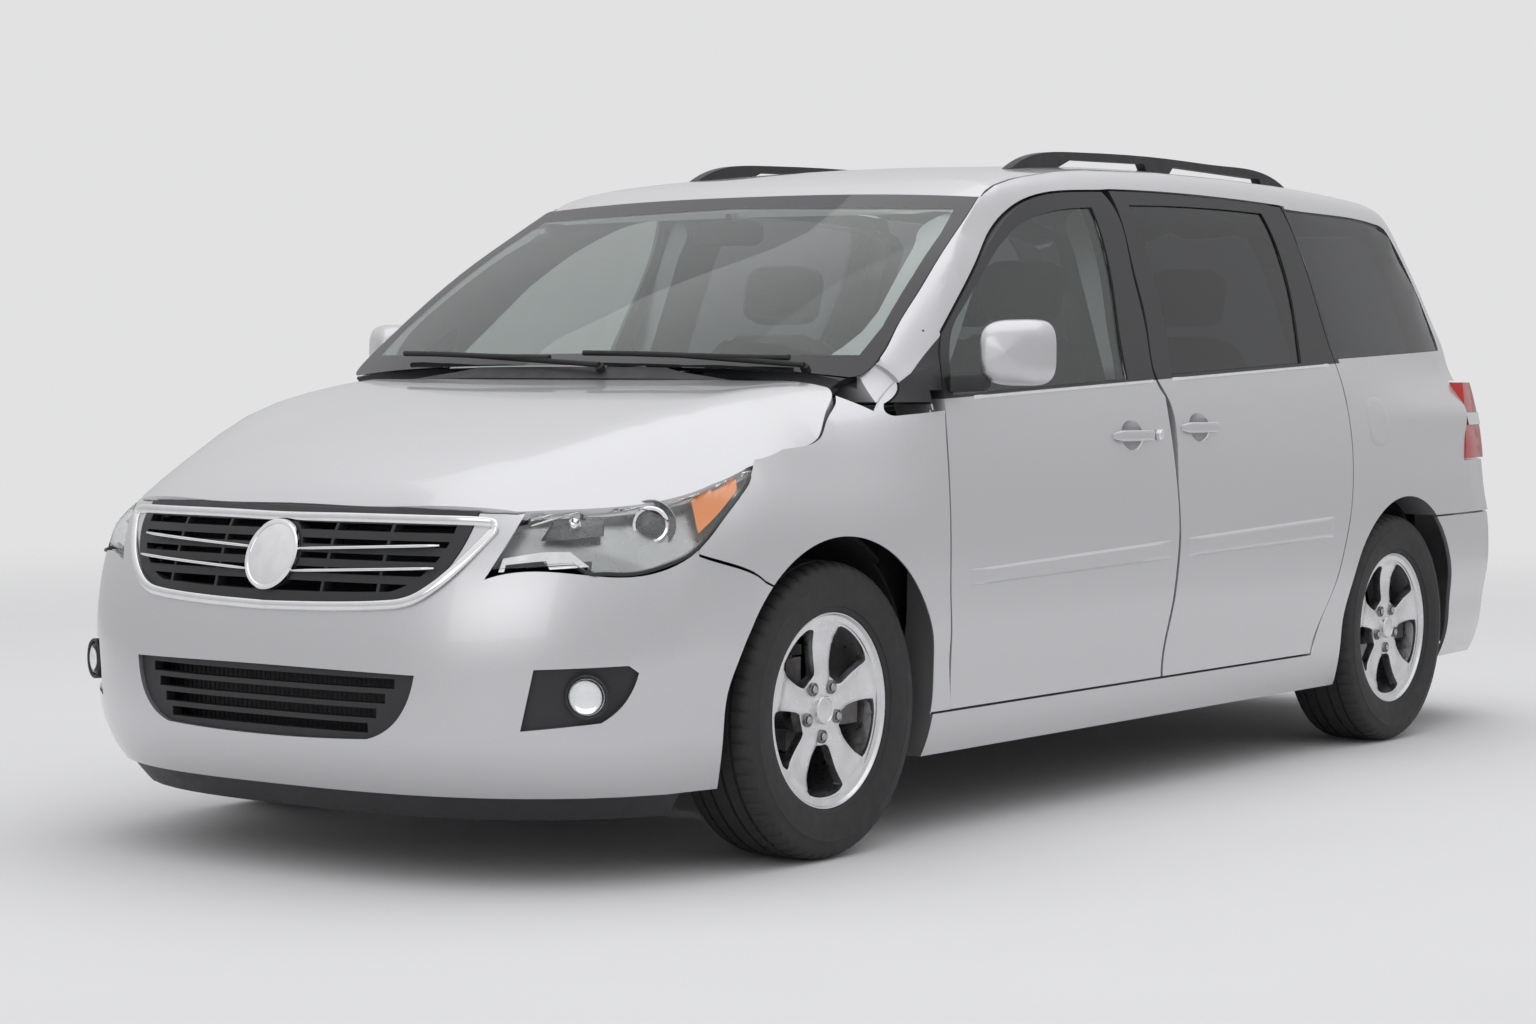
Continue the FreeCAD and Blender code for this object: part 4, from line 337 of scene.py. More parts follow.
def shaped(name, columns, rows, place, closed=False, outward=None):
    """A grid set out by place(u, v), u and v from 0 to 1. A closed one meets itself along u and has its
    ends filled. Outward is the side that the faces of an open one look to."""
    deselect()
    bpy.ops.mesh.primitive_grid_add(x_subdivisions=columns, y_subdivisions=rows, size=2)
    piece = bpy.context.object
    piece.name = piece.data.name = name
    for point in piece.data.vertices:
        point.co = place((point.co.x + 1) / 2, (point.co.y + 1) / 2)
    bpy.ops.object.mode_set(mode="EDIT")
    bpy.ops.mesh.select_all(action="SELECT")
    bpy.ops.mesh.remove_doubles(threshold=WELD)
    if closed:
        bpy.ops.mesh.fill_holes(sides=0)
        bpy.ops.mesh.select_all(action="SELECT")
    bpy.ops.mesh.normals_make_consistent(inside=False)
    bpy.ops.object.mode_set(mode="OBJECT")
    if outward:
        facing = sum((face.normal * face.area for face in piece.data.polygons), Vector())
        if facing.dot(Vector(outward)) < 0:
            piece.data.flip_normals()
    return piece


def settled(piece, finish, body, wall=0.0, edge=0.0, angle=32):
    """Gives a piece its wall, rounded edges, shading, finish and body."""
    deselect()
    piece.select_set(True)
    bpy.context.view_layer.objects.active = piece
    bpy.ops.object.transform_apply(location=True, rotation=True, scale=True)
    if wall:
        shell = piece.modifiers.new("wall", "SOLIDIFY")
        shell.thickness, shell.offset = wall, -1
        bpy.ops.object.modifier_apply(modifier="wall")
    if edge:
        rounding = piece.modifiers.new("edge", "BEVEL")
        rounding.width, rounding.segments, rounding.limit_method = edge, 2, "ANGLE"
        rounding.angle_limit = math.radians(40)
        bpy.ops.object.modifier_apply(modifier="edge")
    bpy.ops.object.shade_smooth_by_angle(angle=math.radians(angle))
    piece.data.materials.clear()
    piece.data.materials.append(finish)
    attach(piece, body)
    return piece


def copied(piece, name):
    """A second piece of the same shape, with its own mesh."""
    twin = piece.copy()
    twin.data = piece.data.copy()
    twin.name = twin.data.name = name
    bpy.context.scene.collection.objects.link(twin)
    return twin


def on_right(piece, name, body, replaced=()):
    """The same piece mirrored to the car's right."""
    twin = copied(piece, name)
    for point in twin.data.vertices:
        point.co.x = -point.co.x
    twin.data.flip_normals()
    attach(twin, body)
    if replaced:
        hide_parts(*replaced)
    return twin


def both(piece, body="body", replaced=()):
    """Keeps a left piece and adds its right twin; {} in a body or node is the side."""
    name = piece.name
    piece.name = piece.data.name = name + "_left"
    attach(piece, body.format("left"))
    if replaced:
        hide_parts(*[node_name.format("left") for node_name in replaced])
    on_right(piece, name + "_right", body.format("right"),
             [node_name.format("right") for node_name in replaced])


def squared(value, power):
    """A sine or cosine drawn out by a power below 1, so that a round outline fills the box round it."""
    return math.copysign(abs(value) ** power, value)


def curve_through(points, share):
    """Place at a share of the way along a smooth curve through some points, counted by the points."""
    last = len(points) - 1
    at = min(share, 0.99999) * last
    first = int(at)
    t = at - first
    p = [Vector(points[max(0, min(last, i))]) for i in (first - 1, first, first + 1, first + 2)]
    return 0.5 * (2 * p[1] + (p[2] - p[0]) * t + (2 * p[0] - 5 * p[1] + 4 * p[2] - p[3]) * t * t
                  + (3 * p[1] - p[0] - 3 * p[2] + p[3]) * t ** 3)


def turned(name, outline, place, segments):
    """A turned piece: outline points (axial, radius) round an axis; place(axial, radius, angle) sets them."""
    def spot(u, v):
        axial, radius = outline[round(v * (len(outline) - 1))]
        return place(axial, radius, 2 * math.pi * u)
    return shaped(name, segments, len(outline) - 1, spot, True)


def about(centre, facing, side, up=UP):
    """The place that turned() asks for: round an axis through a centre."""
    def place(axial, radius, angle):
        return centre + facing * axial + side * (radius * math.cos(angle)) + up * (radius * math.sin(angle))
    return place


def bar(name, path, wide, tall, steps=24, roundness=3.0):
    """A rod along path(v) with a rounded section, as wide across it and tall as said, closed at its ends."""
    def spot(u, v):
        end = min(1.0, 8 * v, 8 * (1 - v)) ** 0.5 if 0 < v < 1 else 0.15
        a = 2 * math.pi * u
        c, s = math.cos(a), math.sin(a)
        ahead = (path(min(1, v + 0.01)) - path(max(0, v - 0.01))).normalized()
        side = ahead.cross(UP).normalized()
        return (path(v) + side * (squared(c, 2 / roundness) * wide / 2 * end)
                + UP * (squared(s, 2 / roundness) * tall / 2 * (0.4 + 0.6 * end)))
    return shaped(name, 20, steps, spot, True)


# Headlamps: dark housing, clear lens, projector, reflector, amber lamp and the strips
OUT = Vector((1, -1, 0)).normalized()
ALONG = Vector((1, 1, 0)).normalized()
LAMP_LOW = [(-1.318, 0.703), (-1.200, 0.708), (-1.101, 0.712), (-0.998, 0.709), (-0.915, 0.728),
            (-0.850, 0.758), (-0.774, 0.832), (-0.710, 0.905), (-0.693, 0.955)]
LAMP_TOP = [(-1.225, 0.843), (-1.150, 0.864), (-1.078, 0.880), (-1.000, 0.897), (-0.924, 0.914),
            (-0.850, 0.932), (-0.790, 0.944), (-0.735, 0.954), (-0.695, 0.960)]
PROJECTOR, BULB = (-0.944, 0.812), (-1.118, 0.815)
lamp_skin = surface("headlamps")


def lamp_spot(along, height, depth):
    """Place in the headlamp at a distance along the car's corner, a height, and a depth behind the lens."""
    start = ALONG * along + UP * height + OUT * FAR
    return touch(lamp_skin, start, -OUT) - OUT * depth


def lamp_sheet(name, low, top, depth, columns=28, rows=10, rim=0.0):
    """A sheet across the lamp between two lines; with a rim it is a tray whose edge comes forward."""
    def spot(u, v):
        i, j = round(u * columns), round(v * rows)
        if rim:
            on_edge = i in (0, columns) or j in (0, rows)
            u = min(1, max(0, (i - 1) / (columns - 2)))
            v = min(1, max(0, (j - 1) / (rows - 2)))
        below, above = curve_through(low, u), curve_through(top, u)
        at = below.lerp(above, 0.01 + 0.98 * v)
        return lamp_spot(at.x, at.y, rim if rim and on_edge else depth)
    return shaped(name, columns, rows, spot, False, OUT)


def round_lamp(name, outline, place, behind, segments=48):
    """A turned lamp part facing out of the car's corner, so far behind the lens."""
    facing = (OUT + Vector((0, -0.35, 0.02))).normalized()
    side = facing.cross(UP).normalized()
    return turned(name, outline, about(lamp_spot(*place, behind), facing, side, side.cross(facing)), segments)


lamp_body = bright("lamp_reflector", (0.40, 0.405, 0.41), 0.32)
lamp_dark = bright("lamp_dark_reflector", (0.07, 0.07, 0.073), 0.25)
amber = moulded("amber_lens", (0.85, 0.24, 0.02), 0.15, 120, 0.0005)
lamp_seal = moulded("lamp_seal", TRIM, 0.4)
lens = lamp_sheet("headlamp_lens", LAMP_LOW, LAMP_TOP, 0.0005)
both(settled(lens, lamp_glass, "body", 0.0025), "body", ("headlamps",))
both(settled(lamp_sheet("headlamp_housing", LAMP_LOW, LAMP_TOP, 0.050, rim=0.004), lamp_body, "body", 0.002))
seal_edge = [lamp_spot(*curve_through(LAMP_LOW, i / 20), 0.001) for i in range(21)]
both(settled(bar("headlamp_seal", lambda v: curve_through(seal_edge, v), 0.008, 0.009, 48), lamp_seal, "body"))
for name, behind, finish, outline in (
        ("projector_bowl", 0.034, lamp_body,
         [(-0.014, 0.056), (-0.004, 0.058), (-0.001, 0.056), (-0.008, 0.051), (-0.012, 0.046), (-0.014, 0.040),
          (-0.020, 0.040)]),
        ("projector_ring", 0.032, chrome,
         [(-0.012, 0.041), (0.004, 0.043), (0.008, 0.040), (0.006, 0.034), (0.000, 0.031), (-0.010, 0.031)]),
        ("projector_lens", 0.034, lamp_dark,
         [(0.0, 0.031), (0.005, 0.030), (0.010, 0.025), (0.014, 0.017), (0.0165, 0.009), (0.017, 0.001)])):
    both(settled(round_lamp(name, outline, PROJECTOR, behind), finish, "body"))
both(settled(lamp_sheet("lamp_reflector_bowl", [(-1.196, 0.780), (-1.128, 0.784), (-1.056, 0.790)],
                        [(-1.150, 0.846), (-1.098, 0.857), (-1.048, 0.866)], 0.030, 12, 6, rim=0.020),
             lamp_dark, "body", 0.001, angle=10))
both(settled(round_lamp("reflector_bulb", [(0.0, 0.016), (0.012, 0.015), (0.020, 0.008), (0.022, 0.001)],
                        BULB, 0.028, 24), chrome, "body"))
both(settled(lamp_sheet("amber_lamp", [(-0.838, 0.792), (-0.790, 0.832), (-0.738, 0.886)],
                        [(-0.852, 0.900), (-0.800, 0.922), (-0.732, 0.940)], 0.009, 12, 8, rim=0.022),
             amber, "body", 0.002))
both(settled(lamp_sheet("lamp_low_strip", [(-1.292, 0.712), (-1.190, 0.718), (-1.092, 0.724)],
                        [(-1.280, 0.742), (-1.200, 0.756), (-1.135, 0.758)], 0.012, 24, 4, rim=0.026),
             chrome, "body", 0.001))
for step in range(3):
    sink = Vector((0.0, 0.010 + 0.011 * step))
    line = [lamp_spot(*(curve_through(LAMP_TOP, 0.02 + 0.96 * i / 16) - sink), 0.008) for i in range(17)]
    rib = bar(f"lamp_top_rib_{step}", lambda v, line=line: curve_through(line, v), 0.006, 0.006, 40)
    both(settled(rib, chrome, "body"))


# Grille: plated frame and bars and a bare round plate

def nose_depth(x, z):
    """The nose's own curve at the grille, clear of the gaps between its slats."""
    rise = z - 0.755
    return -2.5135 + 0.441 * rise + 1.147 * rise * rise + 0.083 * x * x + 0.493 * x ** 4


FRAME = [(0.0, 0.822), (0.20, 0.824), (0.40, 0.824), (0.545, 0.822), (0.572, 0.812), (0.566, 0.790),
         (0.520, 0.725), (0.470, 0.676), (0.415, 0.645), (0.341, 0.634), (0.18, 0.626), (0.0, 0.622)]


def frame_line(v):
    x, z = curve_through([(-a, b) for a, b in FRAME[::-1]] + FRAME[1:], v)
    return Vector((x, nose_depth(x, z) - 0.004, z))


def frame_spot(u, v):
    """Flat band with rounded edges, as wide across its own line all the way round."""
    ahead = frame_line((u + 0.003) % 1.0) - frame_line((u - 0.003) % 1.0)
    across = Vector((ahead.z, 0, -ahead.x)).normalized()
    a = 2 * math.pi * v
    return (frame_line(u % 1.0) + across * (0.0115 * squared(math.cos(a), 0.6))
            - Vector((0, 0.006 * math.sin(a), 0)))


settled(shaped("grille_frame", 200, 16, frame_spot), chrome, "body")
for side, way in SIDES[::-1]:
    for height in (0.7515, 0.7015):
        def bar_spot(v, way=way, height=height):
            x = 0.07 + 0.40 * v
            return Vector((way * x, nose_depth(x, height) - 0.004, height + 0.018 * v))
        settled(bar(f"grille_bar_{side}_{round(height * 1000)}", bar_spot, 0.012, 0.008, 24), chrome, "body")
PLATE_HEIGHT, PLATE_LEAN = 0.737, 0.36
plate_place = about(Vector((0, nose_depth(0, PLATE_HEIGHT) - 0.001, PLATE_HEIGHT)), Vector((0, -1, 0)),
                    Vector((1, 0, 0)), Vector((0, PLATE_LEAN, 1)))
settled(turned("grille_plate", [(0.0, 0.080), (0.008, 0.080), (0.011, 0.077), (0.011, 0.071), (0.008, 0.069),
                                (0.009, 0.064), (0.0115, 0.045), (0.013, 0.020), (0.0133, 0.001)],
               plate_place, 72), chrome, "body")

# Wheels: five broad spokes, open windows, nuts in the hub in rings of painted shade, and a bare centre cap;
# deep rim
WHEEL_X, AXLE_HEIGHT, FRONT_AXLE, REAR_AXLE = 0.832, 0.356, -1.6085, 1.4695
SPOKES, PER_SPOKE, NUT_CIRCLE = 5, 16, 0.0635
SPOKE_TURN = 2 * math.pi / SPOKES
WHEEL_ROWS = [0.0005, 0.036, 0.050, 0.064, 0.076, 0.085, 0.100, 0.118, 0.138, 0.158, 0.176, 0.190, 0.200,
              0.2075, 0.213]
OPEN_FROM, OPEN_TO = 5, 13
MID_OPEN = (WHEEL_ROWS[OPEN_FROM] + WHEEL_ROWS[OPEN_TO]) / 2
HALF_OPEN = (WHEEL_ROWS[OPEN_TO] - WHEEL_ROWS[OPEN_FROM]) / 2


def ramp(value, start, length):
    """0 up to a start, then up to 1 over a length."""
    return min(1, max(0, (value - start) / length))


def spoke_half(radius):
    """Half the angle that a spoke fills at a radius."""
    width = 0.051 + 0.040 * ramp(radius, 0.07, 0.12) ** 1.3
    return min(math.asin(min(0.95, width / 2 / max(radius, 0.052))), math.radians(30))


def wheel_face_spot(u, v):
    """The wheel's face about its own centre: columns run along the spokes' edges, rows round the hub."""
    i, j = round(u * SPOKES * PER_SPOKE), round(v * (len(WHEEL_ROWS) - 1))
    radius = WHEEL_ROWS[j]
    k = (i % PER_SPOKE) - PER_SPOKE // 2
    half = spoke_half(radius)
    gap_half = SPOKE_TURN / 2 - half
    t = half * k / 4 if abs(k) <= 4 else math.copysign(half + gap_half * (abs(k) - 4) / 4, k)
    if OPEN_FROM <= j <= OPEN_TO and abs(k) >= 4:
        p, q = (8 - abs(k)) / 4, (radius - MID_OPEN) / HALF_OPEN
        most = max(abs(p), abs(q))
        if most > 0:
            shrink = most / (abs(p) ** 6 + abs(q) ** 6) ** (1 / 6)
            t = math.copysign(SPOKE_TURN / 2 - gap_half * p * shrink, k)
            radius = MID_OPEN + HALF_OPEN * q * shrink
    dish = 0.070 - 0.006 * math.sin(math.pi * ramp(radius, 0.06, 0.13)) + 0.010 * max(0, radius - 0.17) / 0.04
    crown = 0.007 * (1 - min(1, abs(k) / 5) ** 3) * ramp(radius, 0.05, 0.04) * (0.5 if radius > 0.2 else 1)
    a = math.pi / 2 + (i // PER_SPOKE) * SPOKE_TURN + t
    return Vector((dish + crown, -radius * math.cos(a), radius * math.sin(a)))


def wheel_face():
    """The face with the windows between its spokes cut out."""
    piece = shaped("wheel_face", SPOKES * PER_SPOKE, len(WHEEL_ROWS) - 1, wheel_face_spot, False, (1, 0, 0))
    bpy.ops.object.mode_set(mode="EDIT")
    bpy.ops.mesh.select_all(action="DESELECT")
    cut = bmesh.from_edit_mesh(piece.data)
    low, high = WHEEL_ROWS[OPEN_FROM], WHEEL_ROWS[OPEN_TO]
    for face in cut.faces:
        middle = face.calc_center_median()
        radius = math.hypot(middle.y, middle.z)
        turn = (math.atan2(middle.z, -middle.y) - math.pi / 2 + SPOKE_TURN / 2) % SPOKE_TURN - SPOKE_TURN / 2
        face.select_set(low + 0.001 < radius < high - 0.001 and abs(turn) > spoke_half(radius) + 0.01)
    bmesh.update_edit_mesh(piece.data)
    bpy.ops.mesh.delete(type="FACE")
    bpy.ops.object.mode_set(mode="OBJECT")
    return piece


def wheel_turned(name, outline, segments, y=0.0, z=0.0):
    """A turned piece facing out along x, about the wheel's own axis or a place beside it."""
    return turned(name, outline, about(Vector((0, y, z)), Vector((1, 0, 0)), Vector((0, 1, 0))), segments)


def joined_up(name, pieces):
    deselect()
    for piece in pieces:
        piece.select_set(True)
    bpy.context.view_layer.objects.active = pieces[0]
    bpy.ops.object.join()
    pieces[0].name = pieces[0].data.name = name
    return pieces[0]


# Outlines of the turned parts, as (distance out along the axle, radius)
RIM = [(0.084, 0.2120), (0.0865, 0.2250), (0.0900, 0.2275), (0.0935, 0.2300), (0.0935, 0.2325),
       (0.0880, 0.2330), (0.0800, 0.2270), (0.0600, 0.2180), (0.0200, 0.2080), (-0.0800, 0.2120),
       (-0.0930, 0.2330), (-0.0960, 0.2320), (-0.0900, 0.2270), (-0.0800, 0.2060), (0.0200, 0.2020),
       (0.0500, 0.2060), (0.0700, 0.2095), (0.084, 0.2120)]
CAP = [(0.066, 0.034), (0.079, 0.034), (0.0815, 0.032), (0.0815, 0.029), (0.0795, 0.0275), (0.0805, 0.020),
       (0.0815, 0.010), (0.0818, 0.0005)]
NUT = [(0.068, 0.0105), (0.077, 0.0105), (0.080, 0.008), (0.081, 0.0005)]
POCKET = [(0.066, 0.0165), (0.0745, 0.0165), (0.0755, 0.0155), (0.0745, 0.0142), (0.0715, 0.0138),
          (0.0712, 0.0100)]


def wheel():
    """One whole wheel about its own centre, facing out along x."""
    face = settled(wheel_face(), alloy, "body", 0.030, 0.0035, 35)
    rim = settled(wheel_turned("rim", RIM, 120), alloy, "body", angle=25)
    cap = settled(wheel_turned("cap", CAP, 48), alloy, "body")
    nuts, pockets = [], []
    for i in range(SPOKES):
        a = math.pi / 2 + SPOKE_TURN * (i + 0.5)
        y, z = -NUT_CIRCLE * math.cos(a), NUT_CIRCLE * math.sin(a)
        nuts.append(settled(wheel_turned("nut", NUT, 6, y, z), bright_nut, "body", 0, 0.001))
        # the darker rings round the nuts are painted shade in their recesses
        pockets.append(settled(wheel_turned("pocket", POCKET, 24, y, z), alloy_shade, "body"))
    return joined_up("wheel", [face, rim, cap] + nuts + pockets)


# Tyres: rounded shoulders with cross cuts, four grooves round the tread, and rings on the sidewall
TYRE = [(0.0880, 0.2335), (0.0950, 0.2345), (0.0985, 0.2400), (0.1000, 0.2460), (0.1030, 0.2475),
        (0.1040, 0.2500), (0.1065, 0.2600), (0.1105, 0.2800), (0.1120, 0.2950), (0.1118, 0.3060),
        (0.1124, 0.3075), (0.1112, 0.3095), (0.1090, 0.3200), (0.1068, 0.3300), (0.1040, 0.3370),
        (0.1000, 0.3425), (0.0950, 0.3465), (0.0880, 0.3500), (0.0800, 0.3525), (0.0700, 0.3540),
        (0.0640, 0.3545), (0.0630, 0.3480), (0.0550, 0.3480), (0.0540, 0.3550), (0.0400, 0.3556),
        (0.0280, 0.3558), (0.0270, 0.3490), (0.0190, 0.3490), (0.0180, 0.3560), (0.0, 0.3560)]
TYRE_COLUMNS = 288


def tyre():
    """One whole tyre about its own centre."""
    outline = TYRE + [(-a, r) for a, r in TYRE[-2::-1]] + [(-0.075, 0.2300), (0.075, 0.2300), TYRE[0]]

    def spot(u, v):
        i = round(u * TYRE_COLUMNS)
        axial, radius = outline[round(v * (len(outline) - 1))]
        a = 2 * math.pi * (u + 0.0025 * math.copysign(1, axial) * max(0, abs(axial) - 0.06) / 0.04)
        if radius > 0.3370 and abs(axial) > 0.0635 and i % 5 == 0:
            radius -= 0.0045
        elif radius > 0.3530 and 0.028 < abs(axial) < 0.054 and i % 5 == 2:
            radius -= 0.004
        return Vector((axial, radius * math.cos(a), radius * math.sin(a)))
    return settled(shaped("tyre", TYRE_COLUMNS, len(outline) - 1, spot, True), tyre_rubber, "body", angle=28)


first_wheel, first_tyre = wheel(), tyre()
for model, kind in ((first_wheel, "wheel"), (first_tyre, "tyre")):
    for end, axle in (("front", FRONT_AXLE), ("rear", REAR_AXLE)):
        for side, way in SIDES:
            fitted = copied(model, f"{end}_{side}_{kind}")
            for point in fitted.data.vertices:
                point.co = Vector((way * (point.co.x + WHEEL_X), point.co.y + axle, point.co.z + AXLE_HEIGHT))
            if way < 0:
                fitted.data.flip_normals()
            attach(fitted, f"wheel_{end}_{side}")
            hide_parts(f"{kind}_{end}_{side}")
    bpy.data.objects.remove(model)

# Outside mirrors: crowned silver cap, black base and foot, mirror glass behind
MIRROR_MID, MIRROR_HALF, MIRROR_INNER = (1.062, 1.206), (0.078, 0.083), 0.984
MIRROR_SQUARENESS = 3.6  # 2 is a plain oval


def mirror_outline(u, share):
    """Place (x, z) on the mirror's rounded outline, drawn in to a share of its size."""
    a = 2 * math.pi * u
    return [middle + half * share * squared(turn, 2 / MIRROR_SQUARENESS)
            for middle, half, turn in zip(MIRROR_MID, MIRROR_HALF, (math.cos(a), math.sin(a)))]


def mirror_back(x):
    return -0.985 + 0.30 * (x - MIRROR_INNER)


def mirror_cap(u, v):
    depth = v ** 0.8
    round_off = (1 - depth ** 3.2) ** (1 / 3.2) if depth < 1 else 0.001
    x, z = mirror_outline(u, round_off)
    rear, front = mirror_back(x), -1.102 + 0.62 * (x - MIRROR_INNER)
    return Vector((x, rear + (front - rear) * depth, z))


both(settled(shaped("mirror_cap", 64, 20, mirror_cap, False, (0, -1, 0)), paint, "body", 0.003),
     "front_door_{}", ("mirror_{}",))


def mirror_rear(size_share, set_in):
    """The flat rear of the mirror at a share of its size, so far inside the cap's edge."""
    def spot(u, v):
        x, z = mirror_outline(u, size_share * (1 - v * 0.999))
        return Vector((x, mirror_back(x) - set_in, z))
    return spot


mirrored_glass = bright("mirror_glass", (0.75, 0.77, 0.78), 0.03)
for name, size_share, set_in, finish, wall in (("mirror_bezel", 0.97, 0.006, trim, 0.004),
                                               ("mirror_glass", 0.88, 0.003, mirrored_glass, 0.002)):
    both(settled(shaped(name, 64, 4, mirror_rear(size_share, set_in), False, (0, 1, 0)), finish, "body", wall),
         "front_door_{}")
FOOT_INNER, FOOT_OUTER = Vector((0.915, -1.098, 1.128)), Vector((1.015, -1.043, 1.132))
both(settled(bar("mirror_foot", lambda v: FOOT_INNER.lerp(FOOT_OUTER, v), 0.040, 0.046, 16, 4.0), trim, "body"),
     "front_door_{}")

# Doors: handles, mouldings and the bright strip under the glass
side_skin = surface("front_door_left", "sliding_door_left", "body_side_left")


def side_spot(y, z, proud, skins=side_skin):
    """Place on the left side at a distance along the car and a height, and so far outside it."""
    return touch(skins, Vector((BESIDE, y, z)), Vector((-1, 0, 0))) + Vector((proud, 0, 0))


def handle(name, front, rear, height, body):
    """Bar that stands off the door and comes down to it at both ends."""
    skin_x = side_spot((front + rear) / 2, height + 0.09, 0).x + 0.012

    def path(v):
        stand_off = 0.004 + 0.024 * math.sin(math.pi * v) ** 0.5
        return Vector((skin_x + stand_off, front + (rear - front) * v, height))
    both(settled(bar(name, path, 0.014, 0.030, 32, 3.5), paint, "body"), body)


handle("front_door_handle", -0.330, -0.118, 0.986, "front_door_{}")
handle("sliding_door_handle", 0.050, 0.262, 1.003, "body")
both(settled(turned("door_lock", [(0.0, 0.015), (0.010, 0.015), (0.013, 0.012), (0.0125, 0.006),
                                  (0.0115, 0.0005)],
                    about(Vector((0.958, -0.092, 0.986)), Vector((1, 0, 0)), Vector((0, 1, 0))), 32),
             chrome, "body"), "front_door_{}")


def strip(name, front, rear, low, top, proud, finish, body, steps=40):
    """A moulding that lies on the side between two heights, given at y = 0 with their rise per metre."""
    def spot(u, v):
        y = front + (rear - front) * v
        z = (low[0] + low[1] * y) * (1 - u) + (top[0] + top[1] * y) * u
        edge = min(1.0, 14 * v, 14 * (1 - v), 6 * u, 6 * (1 - u))
        return side_spot(y, z, -0.003 + (proud + 0.003) * max(0.0, edge) ** 0.5)
    both(settled(shaped(name, 12, steps, spot, False, (1, 0, 0)), finish, "body", 0.002), body)


MOULDING_LOW, MOULDING_TOP = (0.642, 0.018), (0.700, 0.030)
strip("front_door_moulding", -1.080, -0.035, MOULDING_LOW, MOULDING_TOP, 0.007, paint, "front_door_{}")
strip("sliding_door_moulding", 0.040, 0.966, MOULDING_LOW, MOULDING_TOP, 0.007, paint, "body")
BELT_AT_ZERO = belt(0)
for strip_name, front, rear, body in (("front_door_belt_strip", -1.010, -0.020, "front_door_{}"),
                                      ("sliding_door_belt_strip", 0.030, 1.060, "body")):
    strip(strip_name, front, rear, (BELT_AT_ZERO - 0.008, BELT_RISE), (BELT_AT_ZERO + 0.003, BELT_RISE), 0.003,
          chrome, body, 48)

# Black sail trim between the windshield pillar, the front door and the fender
sail_skin = surface("body_side_left", "fender_left")
SAIL_NOSE, SAIL_TOP, SAIL_FOOT = (side_spot(y, z, 0.004, sail_skin)
                                  for y, z in ((-1.330, 1.080), (-1.128, 1.262), (-1.128, 1.092)))


def sail_spot(u, v):
    u = 0.002 + 0.998 * u
    return SAIL_NOSE + (SAIL_FOOT - SAIL_NOSE) * u + (SAIL_TOP - SAIL_FOOT) * (u * v)


both(settled(shaped("sail_trim", 24, 16, sail_spot, False, (1, 0, 0)), trim, "body", 0.003, 0.001))

# Inside mirror on its short stem
settled(bar("inside_mirror", lambda v: Vector((-0.125 + 0.25 * v, -0.774 - 0.012 * (2 * v - 1), 1.530)),
            0.034, 0.070, 24), trim, "body")
settled(bar("inside_mirror_stem", lambda v: Vector((0, -0.768 - 0.008 * v, 1.545 + 0.035 * v)),
            0.020, 0.018, 8), trim, "body")

# Tail: blank number plate, grip strip, wiper, high stop lamp and the pale band of the rear lamps
tail_skin = surface("liftgate", "liftgate_window")
tail_lamp_skin = surface("tail_lamps")


def tail_spot(x, z, proud):
    """Place on the liftgate at a distance from the middle and a height, and so far behind it."""
    return touch(tail_skin, Vector((x, FAR, z)), Vector((0, -1, 0))) + Vector((0, proud, 0))


PLATE_LOW, PLATE_HIGH = tail_spot(0, 0.800, 0.006), tail_spot(0, 0.950, 0.006)


def plate_spot(u, v):
    at = PLATE_LOW.lerp(PLATE_HIGH, v)
    return Vector((0.305 * (u - 0.5), at.y, at.z))


settled(shaped("blank_plate", 16, 8, plate_spot, False, (0, 1, 0)),
        moulded("plate_white", (0.55, 0.55, 0.54), 0.4), "liftgate", 0.003, 0.001)
settled(bar("liftgate_grip", lambda v: tail_spot(-0.26 + 0.52 * v, 0.995, 0.004), 0.020, 0.030, 32, 4.0),
        chrome, "liftgate")
settled(bar("high_stop_lamp", lambda v: tail_spot(-0.14 + 0.28 * v, 1.640, 0.0), 0.014, 0.020, 24, 4.0),
        red_glass, "liftgate")
settled(bar("rear_wiper", lambda v: tail_spot(0.02 + 0.36 * v, 1.175 + 0.03 * v, 0.009), 0.014, 0.016, 32),
        rubber, "liftgate")


def lamp_band(u, v):
    """Place just outside the rear lamp, which looks out of the car's corner."""
    along, height = -0.17 + 0.33 * u, 0.985 + 0.040 * v
    start = Vector((0.83, 2.18, 0)) + Vector((-1, 1, 0)).normalized() * along + Vector((2, 2, height))
    return touch(tail_lamp_skin, start, Vector((-1, -1, 0)).normalized()) + Vector((0.0028, 0.0028, 0))


both(settled(shaped("tail_lamp_band", 96, 10, lamp_band, False, (1, 1, 0)),
             moulded("pale_lens", (0.6, 0.6, 0.6), 0.12), "body", 0.001))


# Fuel door, on the left only

def fuel_door(u, v):
    a = 2 * math.pi * u
    y = 1.3035 + 0.070 * (1 - v) * squared(math.cos(a), 0.6)
    z = 1.005 + 0.076 * (1 - v) * squared(math.sin(a), 0.6)
    return side_spot(y, z, 0.0004 if v < 0.01 else 0.0022)


settled(shaped("fuel_door", 48, 8, fuel_door, False, (1, 0, 0)), paint, "body", 0.001)

